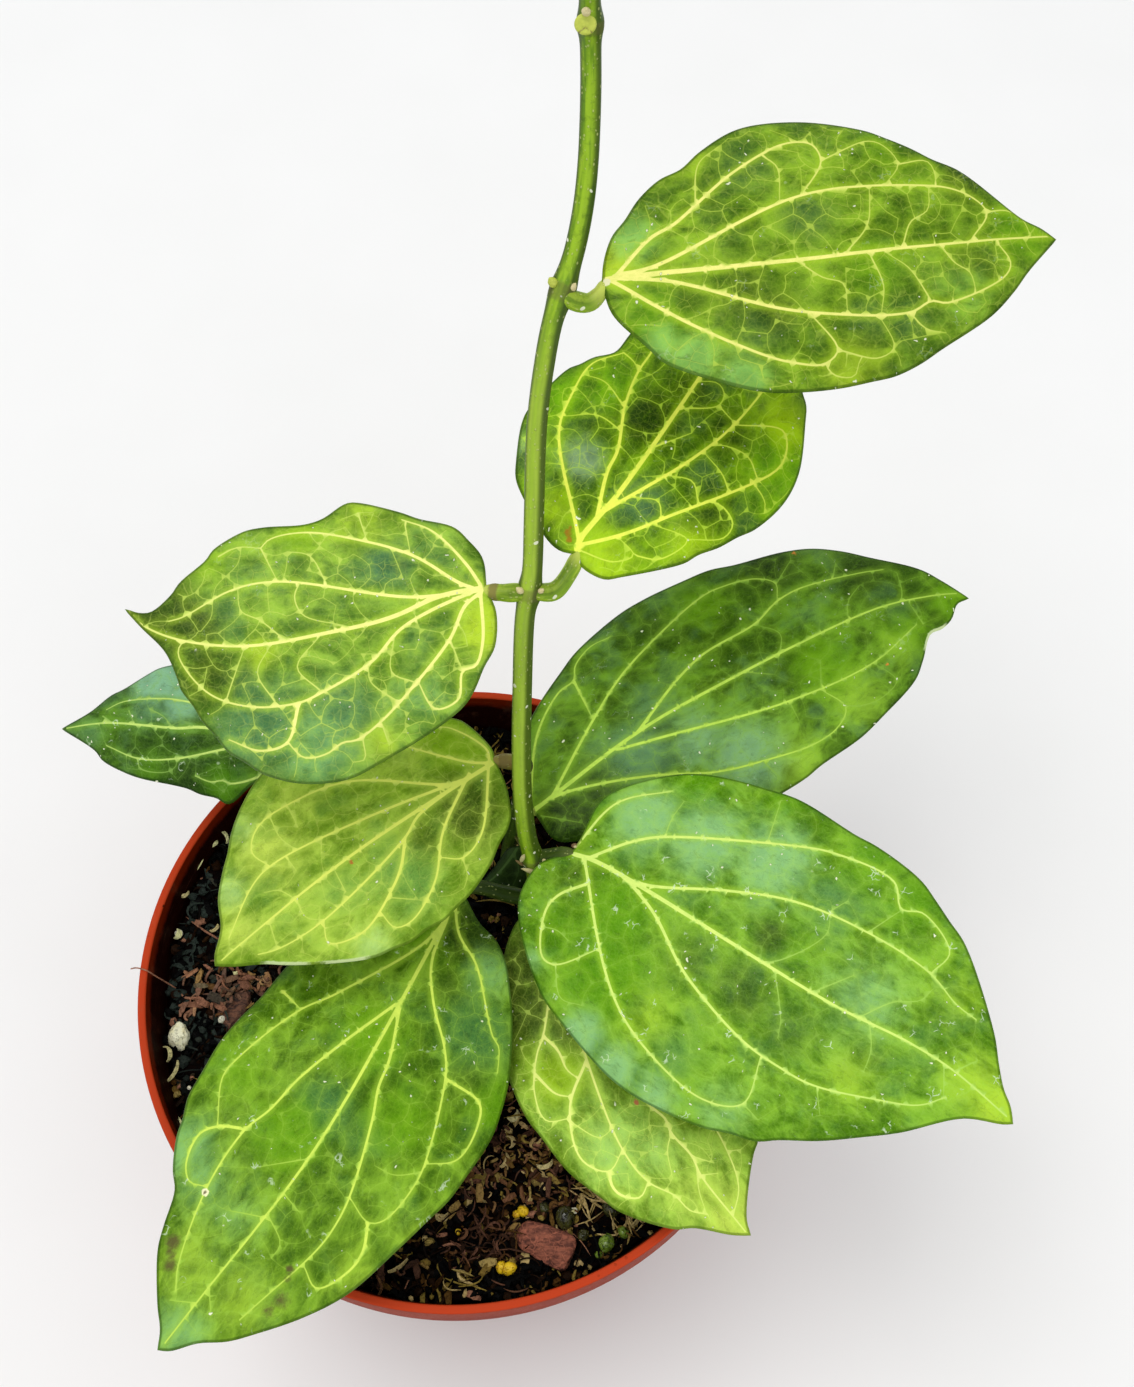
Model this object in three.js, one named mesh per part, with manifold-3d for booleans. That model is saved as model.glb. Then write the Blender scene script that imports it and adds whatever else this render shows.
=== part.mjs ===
// A potted hoya: a thin plastic nursery pot filled with potting mix, one climbing stem, two short shoots
// behind it and ten leaves, each leaf one piece of stalk and blade. Millimetres, +Z up.
// The origin is the middle of the pot's flat underside, and the plant faces -Y.
import * as THREE from 'three';
import { mergeVertices } from 'three/addons/utils/BufferGeometryUtils.js';
import Module from 'manifold-3d';

// Driving dimensions
const POT_HEIGHT = 116;
const RIM_RADIUS = 70;
const RIM_INNER_RADIUS = 68.2;
const BAND_HEIGHT = 15;
const BAND_STEP = 2.4;
const BASE_RADIUS = 51;
const POT_WALL = 1.8;
const FLOOR_THICKNESS = 2.2;
const DRAIN_HOLES = 7;
const DRAIN_RADIUS = 4;
const DRAIN_CIRCLE = 33;
const MIX_DEPTH_BELOW_RIM = 13;
const GAP = 0.3;
const BLADE_THICKNESS = 1.2;
const EDGE_THICKNESS = 0.8;
const POT_SIDES = 60;
const BLADE_COLUMNS = 22;
const BLADE_RINGS = [0, 0.35, 0.7, 1];
const RIB_SHARE = 0.45;
const RIB_END_RADIUS = 0.45;

const POT_COLOR = 0xc4593b;
const MIX_COLOR = 0x1d1712;
const STEM_COLOR = 0x7d9d3a;
const SHOOT_COLOR = 0x5c7a34;
const BARK_COLOR = 0x7a4334;
const FLAKE_COLOR = 0x5f4335;
const PERLITE_COLOR = 0xe9e6d6;

// Centre lines, from inside the mix upwards
const MAIN_STEM = [
  [17, 13, 62], [17, 13, 98], [16.6, 14.5, 120], [15.9, 17.4, 141], [14.7, 19.8, 147],
  [14, 23.7, 156], [13.9, 28.8, 168], [14.3, 35.8, 182], [15.1, 43.0, 198], [16, 45.4, 203],
  [16.6, 48.0, 207], [17, 53.7, 216], [17.7, 63, 231], [19.2, 68.5, 242], [20.6, 72.3, 248],
  [22.7, 76.4, 253], [24.5, 80.5, 257.5], [25.8, 84.9, 262.5], [26.5, 89.2, 267.5],
  [26.8, 93.4, 272.5], [26.9, 96.6, 278], [26.8, 99.3, 284], [26.6, 100.6, 291], [26.4, 101.6, 301],
];
const STEM_FOOT_RADIUS = 2.1;
const STEM_TOP_RADIUS = 1.7;
const STEM_NODE_HEIGHTS = [122, 141, 203, 252, 287];
const REAR_SHOOT = [[9, 31, 70], [9, 31, 103], [10.8, 31.7, 122], [12.7, 32.4, 138], [14, 33, 155]];
const SIDE_SHOOT = [[-21, 37, 78], [-21, 37, 104], [-22, 37.5, 124], [-24, 38, 142]];
const SHOOT_RADIUS = 1.7;
const NODE_SWELL = 0.55;
const NODE_SWELL_LENGTH = 2.2;

// Each leaf is drawn on its own curved sheet: u runs from the base to the tip, v to the leaf's left and
// the sheet rises by arch along the midrib, by cup towards the edges and by wave along them.
const LEAVES = [
  {
    name: 'leaf_upper_right',
    color: 0x6f9a2c,
    carrier: 'main_stem',
    stalk: [[22.3, 75.6, 252.3], [26.2, 73.6, 250.2], [28.7, 75.2, 252]],
    stalkRadius: 1.4,
    base: [29, 76, 253],
    tip: [109, 91, 247],
    facing: [0, -0.34, 0.94],
    arch: 3.5,
    cup: -3,
    halfWidth: 24,
    wave: 0.8,
    waves: 1.5,
    phase: 0,
    left: [
      [0, 0], [1, 4], [3, 8], [5.5, 10.5], [8.5, 14], [12.5, 17], [16.5, 18.5], [20.5, 21.5],
      [28.5, 25.5], [39.5, 26], [50, 23], [53.5, 21], [57.5, 18.5], [61, 16], [65.5, 13.5],
      [75.5, 4], [79, 2], [81.5, 0],
    ],
    right: [
      [0, 0], [1, -5.5], [6, -12], [8.5, -15], [20, -20.5], [25.5, -22], [31, -22.5], [38, -22.5],
      [43.5, -22], [48, -21.5], [52.5, -20], [56.5, -18], [66.5, -13], [71.5, -9], [75, -5.5],
      [81.5, 0],
    ],
  },
  {
    name: 'leaf_middle_right',
    color: 0x4f7d1a,
    carrier: 'main_stem',
    stalk: [[16, 45.4, 203], [20.6, 45, 203.6], [23.6, 48.2, 205.2]],
    stalkRadius: 1.55,
    base: [25, 51, 207],
    tip: [65, 119, 213],
    facing: [0, -0.3, 0.95],
    arch: 3,
    cup: -3,
    halfWidth: 27,
    wave: 1,
    waves: 1.3,
    phase: 0.2,
    left: [
      [0, 0], [-1, 3], [-0.5, 6], [4.5, 14.5], [7, 17.5], [10.5, 19.5], [17.5, 22.5], [21, 23],
      [32, 21], [34, 19.5], [36.5, 18], [39.5, 15], [44, 14.5], [51, 14], [71, 5.5], [79, 0],
    ],
    right: [
      [0, 0], [-1.5, -1.5], [-1.5, -6.5], [0.5, -9], [9, -17.5], [12, -19], [15.5, -21.5],
      [19.5, -23.5], [23, -25.5], [31, -27.5], [38, -27], [47.5, -23], [50.5, -21.5],
      [52.5, -19.5], [60, -14.5], [69.5, -8], [79, 0],
    ],
  },
  {
    name: 'leaf_middle_left',
    color: 0x74a03c,
    carrier: 'main_stem',
    stalk: [[16, 45.4, 203], [12, 44.7, 203.6]],
    stalkRadius: 1.55,
    base: [8, 45, 204],
    tip: [-59, 42, 202],
    facing: [0.05, -0.34, 0.94],
    arch: 3,
    cup: -4,
    halfWidth: 26,
    wave: 2.2,
    waves: 2,
    phase: 0.25,
    left: [
      [0, 0], [-1.5, 4], [-1, 10.5], [1, 14], [5, 21], [20.5, 30], [27.5, 33.5], [35, 34],
      [43, 31.5], [46.5, 29], [49.5, 27], [51.5, 24], [53.5, 21.5], [55, 18.5], [57, 15.5],
      [57.5, 13.5], [59.5, 8.5], [64, 3.5], [67, 0],
    ],
    right: [
      [0, 0], [0.5, -6], [3, -9.5], [5.5, -12], [12, -14], [15.5, -15.5], [22.5, -17.5],
      [25, -17.5], [29.5, -14.5], [33, -13.5], [41, -13.5], [44.5, -13], [50, -10], [51.5, -8],
      [56.5, -4], [58, -2], [62, 1], [64.5, 1], [67, 0],
    ],
  },
  {
    name: 'leaf_far_left',
    color: 0x3f6f1c,
    carrier: 'side_shoot',
    stalk: [[-24, 38, 140], [-27, 39.4, 142.4]],
    stalkRadius: 1.3,
    base: [-33, 42, 146],
    tip: [-88, 50, 136],
    facing: [-0.05, -0.25, 0.97],
    arch: 2,
    cup: -3,
    halfWidth: 14,
    wave: 0.8,
    waves: 1.5,
    phase: 0.5,
    left: [
      [0, 0], [4.5, 6], [10.5, 9.5], [16, 14], [18.5, 13], [22, 12.5], [25, 11.5], [35.5, 10],
      [39.5, 9], [45.5, 6.5], [47.5, 4.5], [56.5, 0],
    ],
    right: [
      [0, 0], [1.5, -5], [9, -11.5], [17.5, -15.5], [25.5, -16.5], [36, -15], [38.5, -13.5],
      [43.5, -9.5], [46, -8], [50, -4], [56.5, 0],
    ],
  },
  {
    name: 'leaf_lower_left',
    color: 0x93b548,
    carrier: 'rear_shoot',
    stalk: [[13.8, 33, 153], [10.8, 33.2, 154.8]],
    stalkRadius: 1.4,
    base: [8, 33, 156],
    tip: [-45, -12, 158],
    facing: [-0.05, -0.32, 0.94],
    arch: 3.5,
    cup: -4,
    halfWidth: 25,
    wave: 1,
    waves: 1.3,
    phase: 0.6,
    left: [
      [0, 0], [1.5, 5.5], [4.5, 11], [7, 13], [10.5, 14.5], [14, 16.5], [18, 18], [21.5, 19],
      [25.5, 19.5], [29, 20], [33, 19.5], [37, 19.5], [40.5, 18.5], [44.5, 17.5], [51.5, 13.5],
      [58.5, 8.5], [62, 5.5], [66.5, 2.5], [69.5, 0],
    ],
    right: [
      [0, 0], [-1, -2], [0, -10.5], [1.5, -12.5], [7, -17.5], [15.5, -22], [23.5, -24.5],
      [31.5, -25.5], [40, -25.5], [47, -22.5], [52, -19], [54.5, -16.5], [57.5, -14], [61.5, -10],
      [64.5, -5], [68.5, -1.5], [69.5, 0],
    ],
  },
  {
    name: 'leaf_front_left',
    color: 0x6a9a30,
    carrier: 'main_stem',
    stalk: [[16.5, 14.9, 123], [10, 15, 126.5], [4, 15.2, 130]],
    stalkRadius: 1.6,
    base: [0, 15, 132],
    tip: [-52, -80, 142],
    facing: [0.02, -0.22, 0.97],
    arch: 5,
    cup: -4,
    halfWidth: 28,
    wave: 1.2,
    waves: 2,
    phase: 0.1,
    left: [
      [0, 0], [5.5, 8], [7, 13], [10, 17], [15, 21], [20, 24.5], [30.5, 30], [37, 32], [43, 33],
      [53.5, 32.5], [58.5, 32], [64, 30.5], [71, 28.5], [83, 24.5], [91, 19.5], [98, 13.5],
      [101.5, 10], [104.5, 5.5], [108, 2], [109, 0],
    ],
    right: [
      [0, 0], [3, -5.5], [9.5, -10.5], [18.5, -14.5], [27, -17.5], [34, -20], [44, -21],
      [49.5, -22], [55.5, -22.5], [62.5, -22], [68, -21.5], [72, -20], [75.5, -19], [81, -16],
      [84, -13.5], [90.5, -11.5], [94.5, -10], [102.5, -4.5], [106, -1.5], [109, 0],
    ],
  },
  {
    name: 'leaf_front',
    color: 0x86a63c,
    carrier: 'main_stem',
    stalk: [[16.6, 14.5, 121], [17.3, 12.7, 122.8]],
    stalkRadius: 1.5,
    base: [18, 11, 125],
    tip: [59, -57, 128],
    facing: [0, -0.2, 0.98],
    arch: 3,
    cup: -2.5,
    halfWidth: 25,
    wave: 1.2,
    waves: 1.6,
    phase: 0.4,
    left: [
      [0, 0], [2, 6.5], [7, 11], [15, 16], [26, 19.5], [39, 19.5], [50.5, 18.5], [59, 15],
      [65, 11.5], [67, 9], [76.5, 1], [79.5, 0],
    ],
    right: [
      [0, 0], [-2, -4.5], [1.5, -10], [11, -17.5], [19.5, -22], [27, -24.5], [36.5, -25.5],
      [41, -25], [49.5, -24], [54, -22.5], [57.5, -21], [61.5, -19.5], [70.5, -12], [72.5, -8.5],
      [77.5, -3], [79.5, 0],
    ],
  },
  {
    name: 'leaf_front_right',
    color: 0x5f9428,
    carrier: 'main_stem',
    stalk: [[15.9, 17.4, 141], [19.5, 16.9, 142.6], [22.3, 16.4, 145.2]],
    stalkRadius: 1.6,
    base: [24, 16, 147],
    tip: [106, -42, 156],
    facing: [0, -0.3, 0.95],
    arch: 5,
    cup: -5,
    halfWidth: 32,
    wave: 1.4,
    waves: 1.8,
    phase: 0.2,
    left: [
      [0, 0], [0, 3.5], [-1, 12], [1, 16.5], [9, 24.5], [14.5, 28], [21, 30.5], [26.5, 32],
      [34, 33.5], [48, 32.5], [53, 32.5], [63.5, 31], [68, 29], [72, 27], [77, 24.5], [90, 12.5],
      [93.5, 8], [96.5, 4.5], [99, 2.5], [101, 0],
    ],
    right: [
      [0, 0], [-5, -5.5], [-5, -13], [-2.5, -17], [1, -20.5], [10.5, -27.5], [17, -30], [27, -33],
      [32.5, -34], [39.5, -34], [52, -32], [57.5, -30], [62.5, -28.5], [66, -26], [72.5, -22],
      [79, -17], [84.5, -12.5], [93, -4], [99.5, -1], [101, 0],
    ],
  },
  {
    name: 'leaf_back_right',
    color: 0x4a7626,
    carrier: 'rear_shoot',
    stalk: [[12.7, 32.4, 138.5], [14.6, 30.3, 139.6]],
    stalkRadius: 1.5,
    base: [16, 28, 141],
    tip: [111, 75, 150],
    facing: [0, -0.26, 0.96],
    arch: 4,
    cup: -4,
    halfWidth: 24,
    wave: 1,
    waves: 1.6,
    phase: 0.3,
    left: [
      [0, 0], [0.5, 5.5], [3.5, 12], [7, 17], [11.5, 20.5], [19, 25], [24.5, 28], [36.5, 31.5],
      [43, 32], [52.5, 31.5], [58.5, 31], [64, 29.5], [75.5, 27.5], [81.5, 25.5], [87, 22],
      [91.5, 18], [100, 10.5], [103, 6], [106.5, 0],
    ],
    right: [
      [0, 0], [1.5, -7.5], [6, -10], [12.5, -13.5], [20.5, -16.5], [40, -20], [54.5, -19.5],
      [59, -18.5], [69.5, -17], [76, -15], [86.5, -11], [90, -8], [94.5, -3.5], [97.5, -3.5],
      [100.5, -2.5], [103.5, 0], [106.5, 0],
    ],
  },
  {
    name: 'leaf_small',
    color: 0x2f4a20,
    carrier: 'rear_shoot',
    stalk: [[10.9, 31.6, 121], [12.2, 29.8, 121.5]],
    stalkRadius: 0.9,
    base: [13, 28, 122],
    tip: [3, 20, 117],
    facing: [-0.25, -0.1, 0.96],
    arch: 1,
    cup: -1.5,
    halfWidth: 5,
    wave: 0,
    waves: 1,
    phase: 0,
    left: [
      [0, 0], [0, 4.5], [3, 6.5], [9, 6.5], [12.5, 4], [14.5, 0],
    ],
    right: [
      [0, 0], [2.5, -1.5], [6.5, -0.5], [10, 0], [14.5, 0],
    ],
  },
];

const wasm = await Module();
wasm.setup();

// Booleans
function toSolid(geometry) {
  const bare = new THREE.BufferGeometry();
  bare.setAttribute('position', geometry.getAttribute('position'));
  bare.setIndex(geometry.getIndex());
  const merged = mergeVertices(bare, 1e-4);
  return new wasm.Manifold(new wasm.Mesh({
    numProp: 3,
    vertProperties: merged.attributes.position.array,
    triVerts: new Uint32Array(merged.index.array),
  }));
}

function toGeometry(solid) {
  const mesh = solid.getMesh();
  const geometry = new THREE.BufferGeometry();
  geometry.setAttribute('position', new THREE.BufferAttribute(new Float32Array(mesh.vertProperties), 3));
  geometry.setIndex(new THREE.BufferAttribute(new Uint32Array(mesh.triVerts), 1));
  geometry.computeVertexNormals();
  return geometry;
}

// A closed tube along a centre line, with a radius that may change on the way
function sweep(points, radiusAt, sides, steps) {
  const path = new THREE.CatmullRomCurve3(points.map((p) => new THREE.Vector3(...p)), false, 'centripetal');
  const frames = path.computeFrenetFrames(steps, false);
  const positions = [];
  const faces = [];
  for (let i = 0; i <= steps; i++) {
    const centre = path.getPointAt(i / steps);
    const radius = radiusAt(i / steps, centre);
    for (let j = 0; j < sides; j++) {
      const angle = (2 * Math.PI * j) / sides;
      const point = centre.clone();
      point.addScaledVector(frames.normals[i], radius * Math.cos(angle));
      point.addScaledVector(frames.binormals[i], radius * Math.sin(angle));
      positions.push(point.x, point.y, point.z);
    }
  }
  for (let i = 0; i < steps; i++) {
    for (let j = 0; j < sides; j++) {
      const a = i * sides + j;
      const b = i * sides + ((j + 1) % sides);
      faces.push(a, b, b + sides, a, b + sides, a + sides);
    }
  }
  const last = steps * sides;
  for (let j = 1; j < sides - 1; j++) {
    faces.push(0, j + 1, j);
    faces.push(last, last + j, last + j + 1);
  }
  const geometry = new THREE.BufferGeometry();
  geometry.setAttribute('position', new THREE.BufferAttribute(new Float32Array(positions), 3));
  geometry.setIndex(faces);
  return geometry;
}

// A rounded bump such as a bud or a scar
function bump(at, size, turn = [0, 0, 0]) {
  const geometry = new THREE.IcosahedronGeometry(1, 1);
  geometry.scale(...size);
  geometry.rotateX(turn[0]);
  geometry.rotateY(turn[1]);
  geometry.rotateZ(turn[2]);
  geometry.translate(...at);
  return toSolid(geometry);
}

// Pot
function potOuterRadius(z) {
  return BASE_RADIUS + (RIM_RADIUS - BAND_STEP - BASE_RADIUS) * (z / (POT_HEIGHT - BAND_HEIGHT));
}

function potInnerRadius(z) {
  const stepRadius = potOuterRadius(POT_HEIGHT - BAND_HEIGHT) - POT_WALL;
  const share = (z - (POT_HEIGHT - BAND_HEIGHT)) / BAND_HEIGHT;
  if (share > 0) return stepRadius + (RIM_INNER_RADIUS - stepRadius) * share;
  return potOuterRadius(z) - POT_WALL;
}

function makePot() {
  const stepZ = POT_HEIGHT - BAND_HEIGHT;
  const profile = [
    [0, 0],
    [BASE_RADIUS - 1, 0],
    [potOuterRadius(1), 1],
    [potOuterRadius(stepZ), stepZ],
    [RIM_RADIUS - 1.2, stepZ + 0.6],
    [RIM_RADIUS - 0.7, stepZ + 1.4],
    [RIM_RADIUS, POT_HEIGHT - 0.6],
    [RIM_RADIUS - 0.5, POT_HEIGHT],
    [RIM_INNER_RADIUS + 0.4, POT_HEIGHT],
    [RIM_INNER_RADIUS, POT_HEIGHT - 0.6],
    [potInnerRadius(stepZ), stepZ],
    [potInnerRadius(FLOOR_THICKNESS), FLOOR_THICKNESS],
    [0, FLOOR_THICKNESS],
  ];
  const lathe = new THREE.LatheGeometry(profile.map((p) => new THREE.Vector2(...p)), POT_SIDES);
  lathe.rotateX(Math.PI / 2);
  let pot = toSolid(lathe);
  for (let i = 0; i < DRAIN_HOLES; i++) {
    const angle = (2 * Math.PI * i) / DRAIN_HOLES;
    const hole = new THREE.CylinderGeometry(DRAIN_RADIUS, DRAIN_RADIUS, 3 * FLOOR_THICKNESS, 16);
    hole.rotateX(Math.PI / 2);
    hole.translate(DRAIN_CIRCLE * Math.cos(angle), DRAIN_CIRCLE * Math.sin(angle), FLOOR_THICKNESS / 2);
    pot = pot.subtract(toSolid(hole));
  }
  return pot;
}

// Potting mix
function mixHeight(x, y) {
  const level = POT_HEIGHT - MIX_DEPTH_BELOW_RIM;
  const swell = 1.6 * Math.exp(-((x - 8) ** 2 + (y - 8) ** 2) / 900);
  const lumps = Math.sin(0.31 * x + 0.6) * Math.cos(0.27 * y + 0.4);
  const crumbs = Math.sin(0.83 * x - 0.51 * y + 1.3) * Math.cos(0.74 * y + 0.35 * x);
  return level + swell + 0.9 * lumps + 0.5 * crumbs;
}

function makeMix() {
  const rings = 13;
  const positions = [0, 0, mixHeight(0, 0)];
  const faces = [];
  const topRadius = potInnerRadius(POT_HEIGHT - MIX_DEPTH_BELOW_RIM - 3) - GAP;
  const around = (radius, heightAt) => {
    for (let j = 0; j < POT_SIDES; j++) {
      const angle = (2 * Math.PI * j) / POT_SIDES;
      const x = radius * Math.cos(angle);
      const y = radius * Math.sin(angle);
      positions.push(x, y, heightAt(x, y));
    }
  };
  for (let i = 1; i <= rings; i++) around((topRadius * i) / rings, mixHeight);
  const shoulderZ = POT_HEIGHT - BAND_HEIGHT - 2;
  around(potInnerRadius(shoulderZ) - GAP, () => shoulderZ);
  const floorZ = FLOOR_THICKNESS + GAP;
  around(potInnerRadius(floorZ) - GAP, () => floorZ);
  const rows = rings + 2;
  const id = (row, j) => 1 + (row - 1) * POT_SIDES + (j % POT_SIDES);
  for (let j = 0; j < POT_SIDES; j++) {
    faces.push(0, id(1, j), id(1, j + 1));
    for (let row = 1; row < rows; row++) {
      faces.push(id(row, j), id(row + 1, j), id(row + 1, j + 1));
      faces.push(id(row, j), id(row + 1, j + 1), id(row, j + 1));
    }
  }
  for (let j = 1; j < POT_SIDES - 1; j++) faces.push(id(rows, 0), id(rows, j + 1), id(rows, j));
  const geometry = new THREE.BufferGeometry();
  geometry.setAttribute('position', new THREE.BufferAttribute(new Float32Array(positions), 3));
  geometry.setIndex(faces);
  return toSolid(geometry);
}

// Bark and perlite that lie in hollows of the mix
const CHIPS = {
  bark_chip: {
    outline: [
      [-6.2, -1.5], [-4.4, -4.4], [0.5, -5.2], [4.6, -3.8], [6.4, 0.4], [3.9, 3.9], [-1, 5.1], [-5, 3],
    ],
    thickness: 3.4,
    at: [18.4, -54.1],
    turn: [0.16, -0.14, 0.35],
    sink: 1.1,
  },
  bark_flake: {
    outline: [[-6.5, -2.1], [-1.5, -3.4], [4, -2.2], [6.8, 0.6], [2.6, 2.7], [-3.4, 3.1]],
    thickness: 2.6,
    at: [-51, -2],
    turn: [-0.12, 0.2, 1.2],
    sink: 0.8,
  },
};
const CHIP_BEVEL = 0.6;
const PERLITE = { at: [-62, -10.4], size: [2.6, 3.3, 2.4], turn: [0.3, 0.5, 0.2], sink: 0.8 };

function chip(spec, grow) {
  const shape = new THREE.Shape(spec.outline.map(([x, y]) => {
    const length = Math.hypot(x, y);
    return new THREE.Vector2((x * (length + grow)) / length, (y * (length + grow)) / length);
  }));
  const depth = spec.thickness - 2 * CHIP_BEVEL + 2 * grow;
  const geometry = new THREE.ExtrudeGeometry(shape, {
    depth,
    steps: 1,
    bevelEnabled: true,
    bevelThickness: CHIP_BEVEL,
    bevelSize: 0.7,
    bevelOffset: -0.7,
    bevelSegments: 1,
  });
  geometry.translate(0, 0, -depth / 2);
  geometry.rotateX(spec.turn[0]);
  geometry.rotateY(spec.turn[1]);
  geometry.rotateZ(spec.turn[2]);
  const [x, y] = spec.at;
  geometry.translate(x, y, mixHeight(x, y) + spec.thickness / 2 - spec.sink);
  return toSolid(geometry);
}

function perlite(grow) {
  const [x, y] = PERLITE.at;
  const z = mixHeight(x, y) + PERLITE.size[2] - PERLITE.sink;
  return bump([x, y, z], PERLITE.size.map((s) => s + grow), PERLITE.turn);
}

// Stems
function stemRadius(foot, top, nodeHeights, grow) {
  return (share, centre) => {
    let radius = foot + (top - foot) * share + grow;
    for (const height of nodeHeights) {
      radius += NODE_SWELL * Math.exp(-(((centre.z - height) / NODE_SWELL_LENGTH) ** 2));
    }
    return radius;
  };
}

function shoot(points, grow) {
  const top = points[points.length - 1][2];
  const radius = stemRadius(SHOOT_RADIUS, SHOOT_RADIUS * 0.9, [top - 2], grow);
  return toSolid(sweep(points, radius, 8, 20));
}

const STEM_BUDS = [
  { at: [26.0, 98.9, 288.2], size: [1.7, 0.9, 1.6], turn: [-0.5, 0, 0] },
  { at: [26.0, 99.6, 290.6], size: [0.8, 0.8, 0.9] },
  { at: [20.3, 74.2, 252.9], size: [1.2, 1.1, 1.4], turn: [0, -0.5, 0] },
  { at: [23.9, 75.0, 253.3], size: [0.9, 0.8, 1.0] },
  { at: [14.3, 44.2, 205.2], size: [0.9, 0.9, 1.1], turn: [0, -0.4, 0] },
  { at: [14.2, 16.6, 142.6], size: [1.4, 1.2, 2.6], turn: [0, 0.3, 0] },
];

function mainStem(grow) {
  const radius = stemRadius(STEM_FOOT_RADIUS, STEM_TOP_RADIUS, STEM_NODE_HEIGHTS, grow);
  let stem = toSolid(sweep(MAIN_STEM, radius, 10, 72));
  for (const bud of STEM_BUDS) stem = stem.add(bump(bud.at, bud.size.map((s) => s + grow), bud.turn));
  return stem;
}

const STEMS = {
  main_stem: mainStem,
  rear_shoot: (grow) => shoot(REAR_SHOOT, grow),
  side_shoot: (grow) => shoot(SIDE_SHOOT, grow),
};

// Leaves
function sheet(leaf) {
  const base = new THREE.Vector3(...leaf.base);
  const along = new THREE.Vector3(...leaf.tip).sub(base);
  const length = along.length();
  along.normalize();
  const up = new THREE.Vector3(...leaf.facing);
  up.addScaledVector(along, -up.dot(along)).normalize();
  const across = new THREE.Vector3().crossVectors(up, along);
  const pointAt = (u, v, above) => {
    const t = u / length;
    const c = (v / leaf.halfWidth) ** 2;
    const ripple = leaf.wave * Math.sin(2 * Math.PI * (leaf.waves * t + leaf.phase));
    const rise = leaf.arch * 4 * t * (1 - t) + (leaf.cup + ripple) * c + above;
    return base.clone().addScaledVector(along, u).addScaledVector(across, v).addScaledVector(up, rise);
  };
  return { length, pointAt };
}

function edgePoints(points) {
  const knots = points.map(([u, v]) => new THREE.Vector3(u, v, 0));
  return new THREE.CatmullRomCurve3(knots, false, 'centripetal').getSpacedPoints(BLADE_COLUMNS);
}

function blade(leaf) {
  const { length, pointAt } = sheet(leaf);
  const edges = { 1: edgePoints(leaf.left), [-1]: edgePoints(leaf.right) };
  const rings = BLADE_RINGS.length - 1;
  const positions = [];
  const faces = [];
  const ids = new Map();
  const addPoint = (column, ring, layer) => {
    const atEnd = column === 0 || column === BLADE_COLUMNS;
    const key = `${column} ${atEnd ? 0 : ring} ${layer}`;
    if (ids.has(key)) return ids.get(key);
    const share = BLADE_RINGS[atEnd ? 0 : Math.abs(ring)];
    const edge = edges[ring < 0 ? -1 : 1][column];
    const middle = (length * column) / BLADE_COLUMNS;
    const u = middle + share * (edge.x - middle);
    const v = share * edge.y;
    const thickness = BLADE_THICKNESS + (EDGE_THICKNESS - BLADE_THICKNESS) * share ** 3;
    const point = pointAt(u, v, (layer * thickness) / 2);
    positions.push(point.x, point.y, point.z);
    ids.set(key, positions.length / 3 - 1);
    return positions.length / 3 - 1;
  };
  const addFace = (a, b, c) => {
    if (a !== b && b !== c && c !== a) faces.push(a, b, c);
  };
  for (let i = 0; i < BLADE_COLUMNS; i++) {
    for (let j = -rings; j < rings; j++) {
      for (const layer of [1, -1]) {
        const a = addPoint(i, j, layer);
        const b = addPoint(i + 1, j, layer);
        const c = addPoint(i + 1, j + 1, layer);
        const d = addPoint(i, j + 1, layer);
        if (layer > 0) {
          addFace(a, b, c);
          addFace(a, c, d);
        } else {
          addFace(c, b, a);
          addFace(d, c, a);
        }
      }
    }
    for (const side of [1, -1]) {
      const corners = [
        addPoint(i, side * rings, side), addPoint(i + 1, side * rings, side),
        addPoint(i + 1, side * rings, -side), addPoint(i, side * rings, -side),
      ];
      addFace(corners[0], corners[1], corners[2]);
      addFace(corners[0], corners[2], corners[3]);
    }
  }
  const geometry = new THREE.BufferGeometry();
  geometry.setAttribute('position', new THREE.BufferAttribute(new Float32Array(positions), 3));
  geometry.setIndex(faces);
  return toSolid(geometry);
}

function makeLeaf(leaf) {
  const { length, pointAt } = sheet(leaf);
  const ribStart = pointAt(0.5, 0, -0.4).toArray();
  const ribMiddle = pointAt(0.09 * length, 0, -0.75).toArray();
  const ribEnd = pointAt(0.26 * length, 0, -0.6).toArray();
  const radiusAt = (share) => {
    const taper = Math.max(0, (share - RIB_SHARE) / (1 - RIB_SHARE));
    return leaf.stalkRadius + (RIB_END_RADIUS - leaf.stalkRadius) * taper;
  };
  const stalk = toSolid(sweep([...leaf.stalk, ribStart, ribMiddle, ribEnd], radiusAt, 8, 12));
  return blade(leaf).add(stalk).subtract(STEMS[leaf.carrier](GAP));
}

// Assembly
function standard(color, roughness) {
  return new THREE.MeshStandardMaterial({ color, roughness, metalness: 0 });
}

const plant = new THREE.Group();
function addNode(name, solid, material) {
  const mesh = new THREE.Mesh(toGeometry(solid), material);
  mesh.name = name;
  plant.add(mesh);
}

let mix = makeMix();
for (const grown of Object.values(STEMS)) mix = mix.subtract(grown(GAP));
for (const spec of Object.values(CHIPS)) mix = mix.subtract(chip(spec, GAP));
mix = mix.subtract(perlite(GAP));

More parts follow.
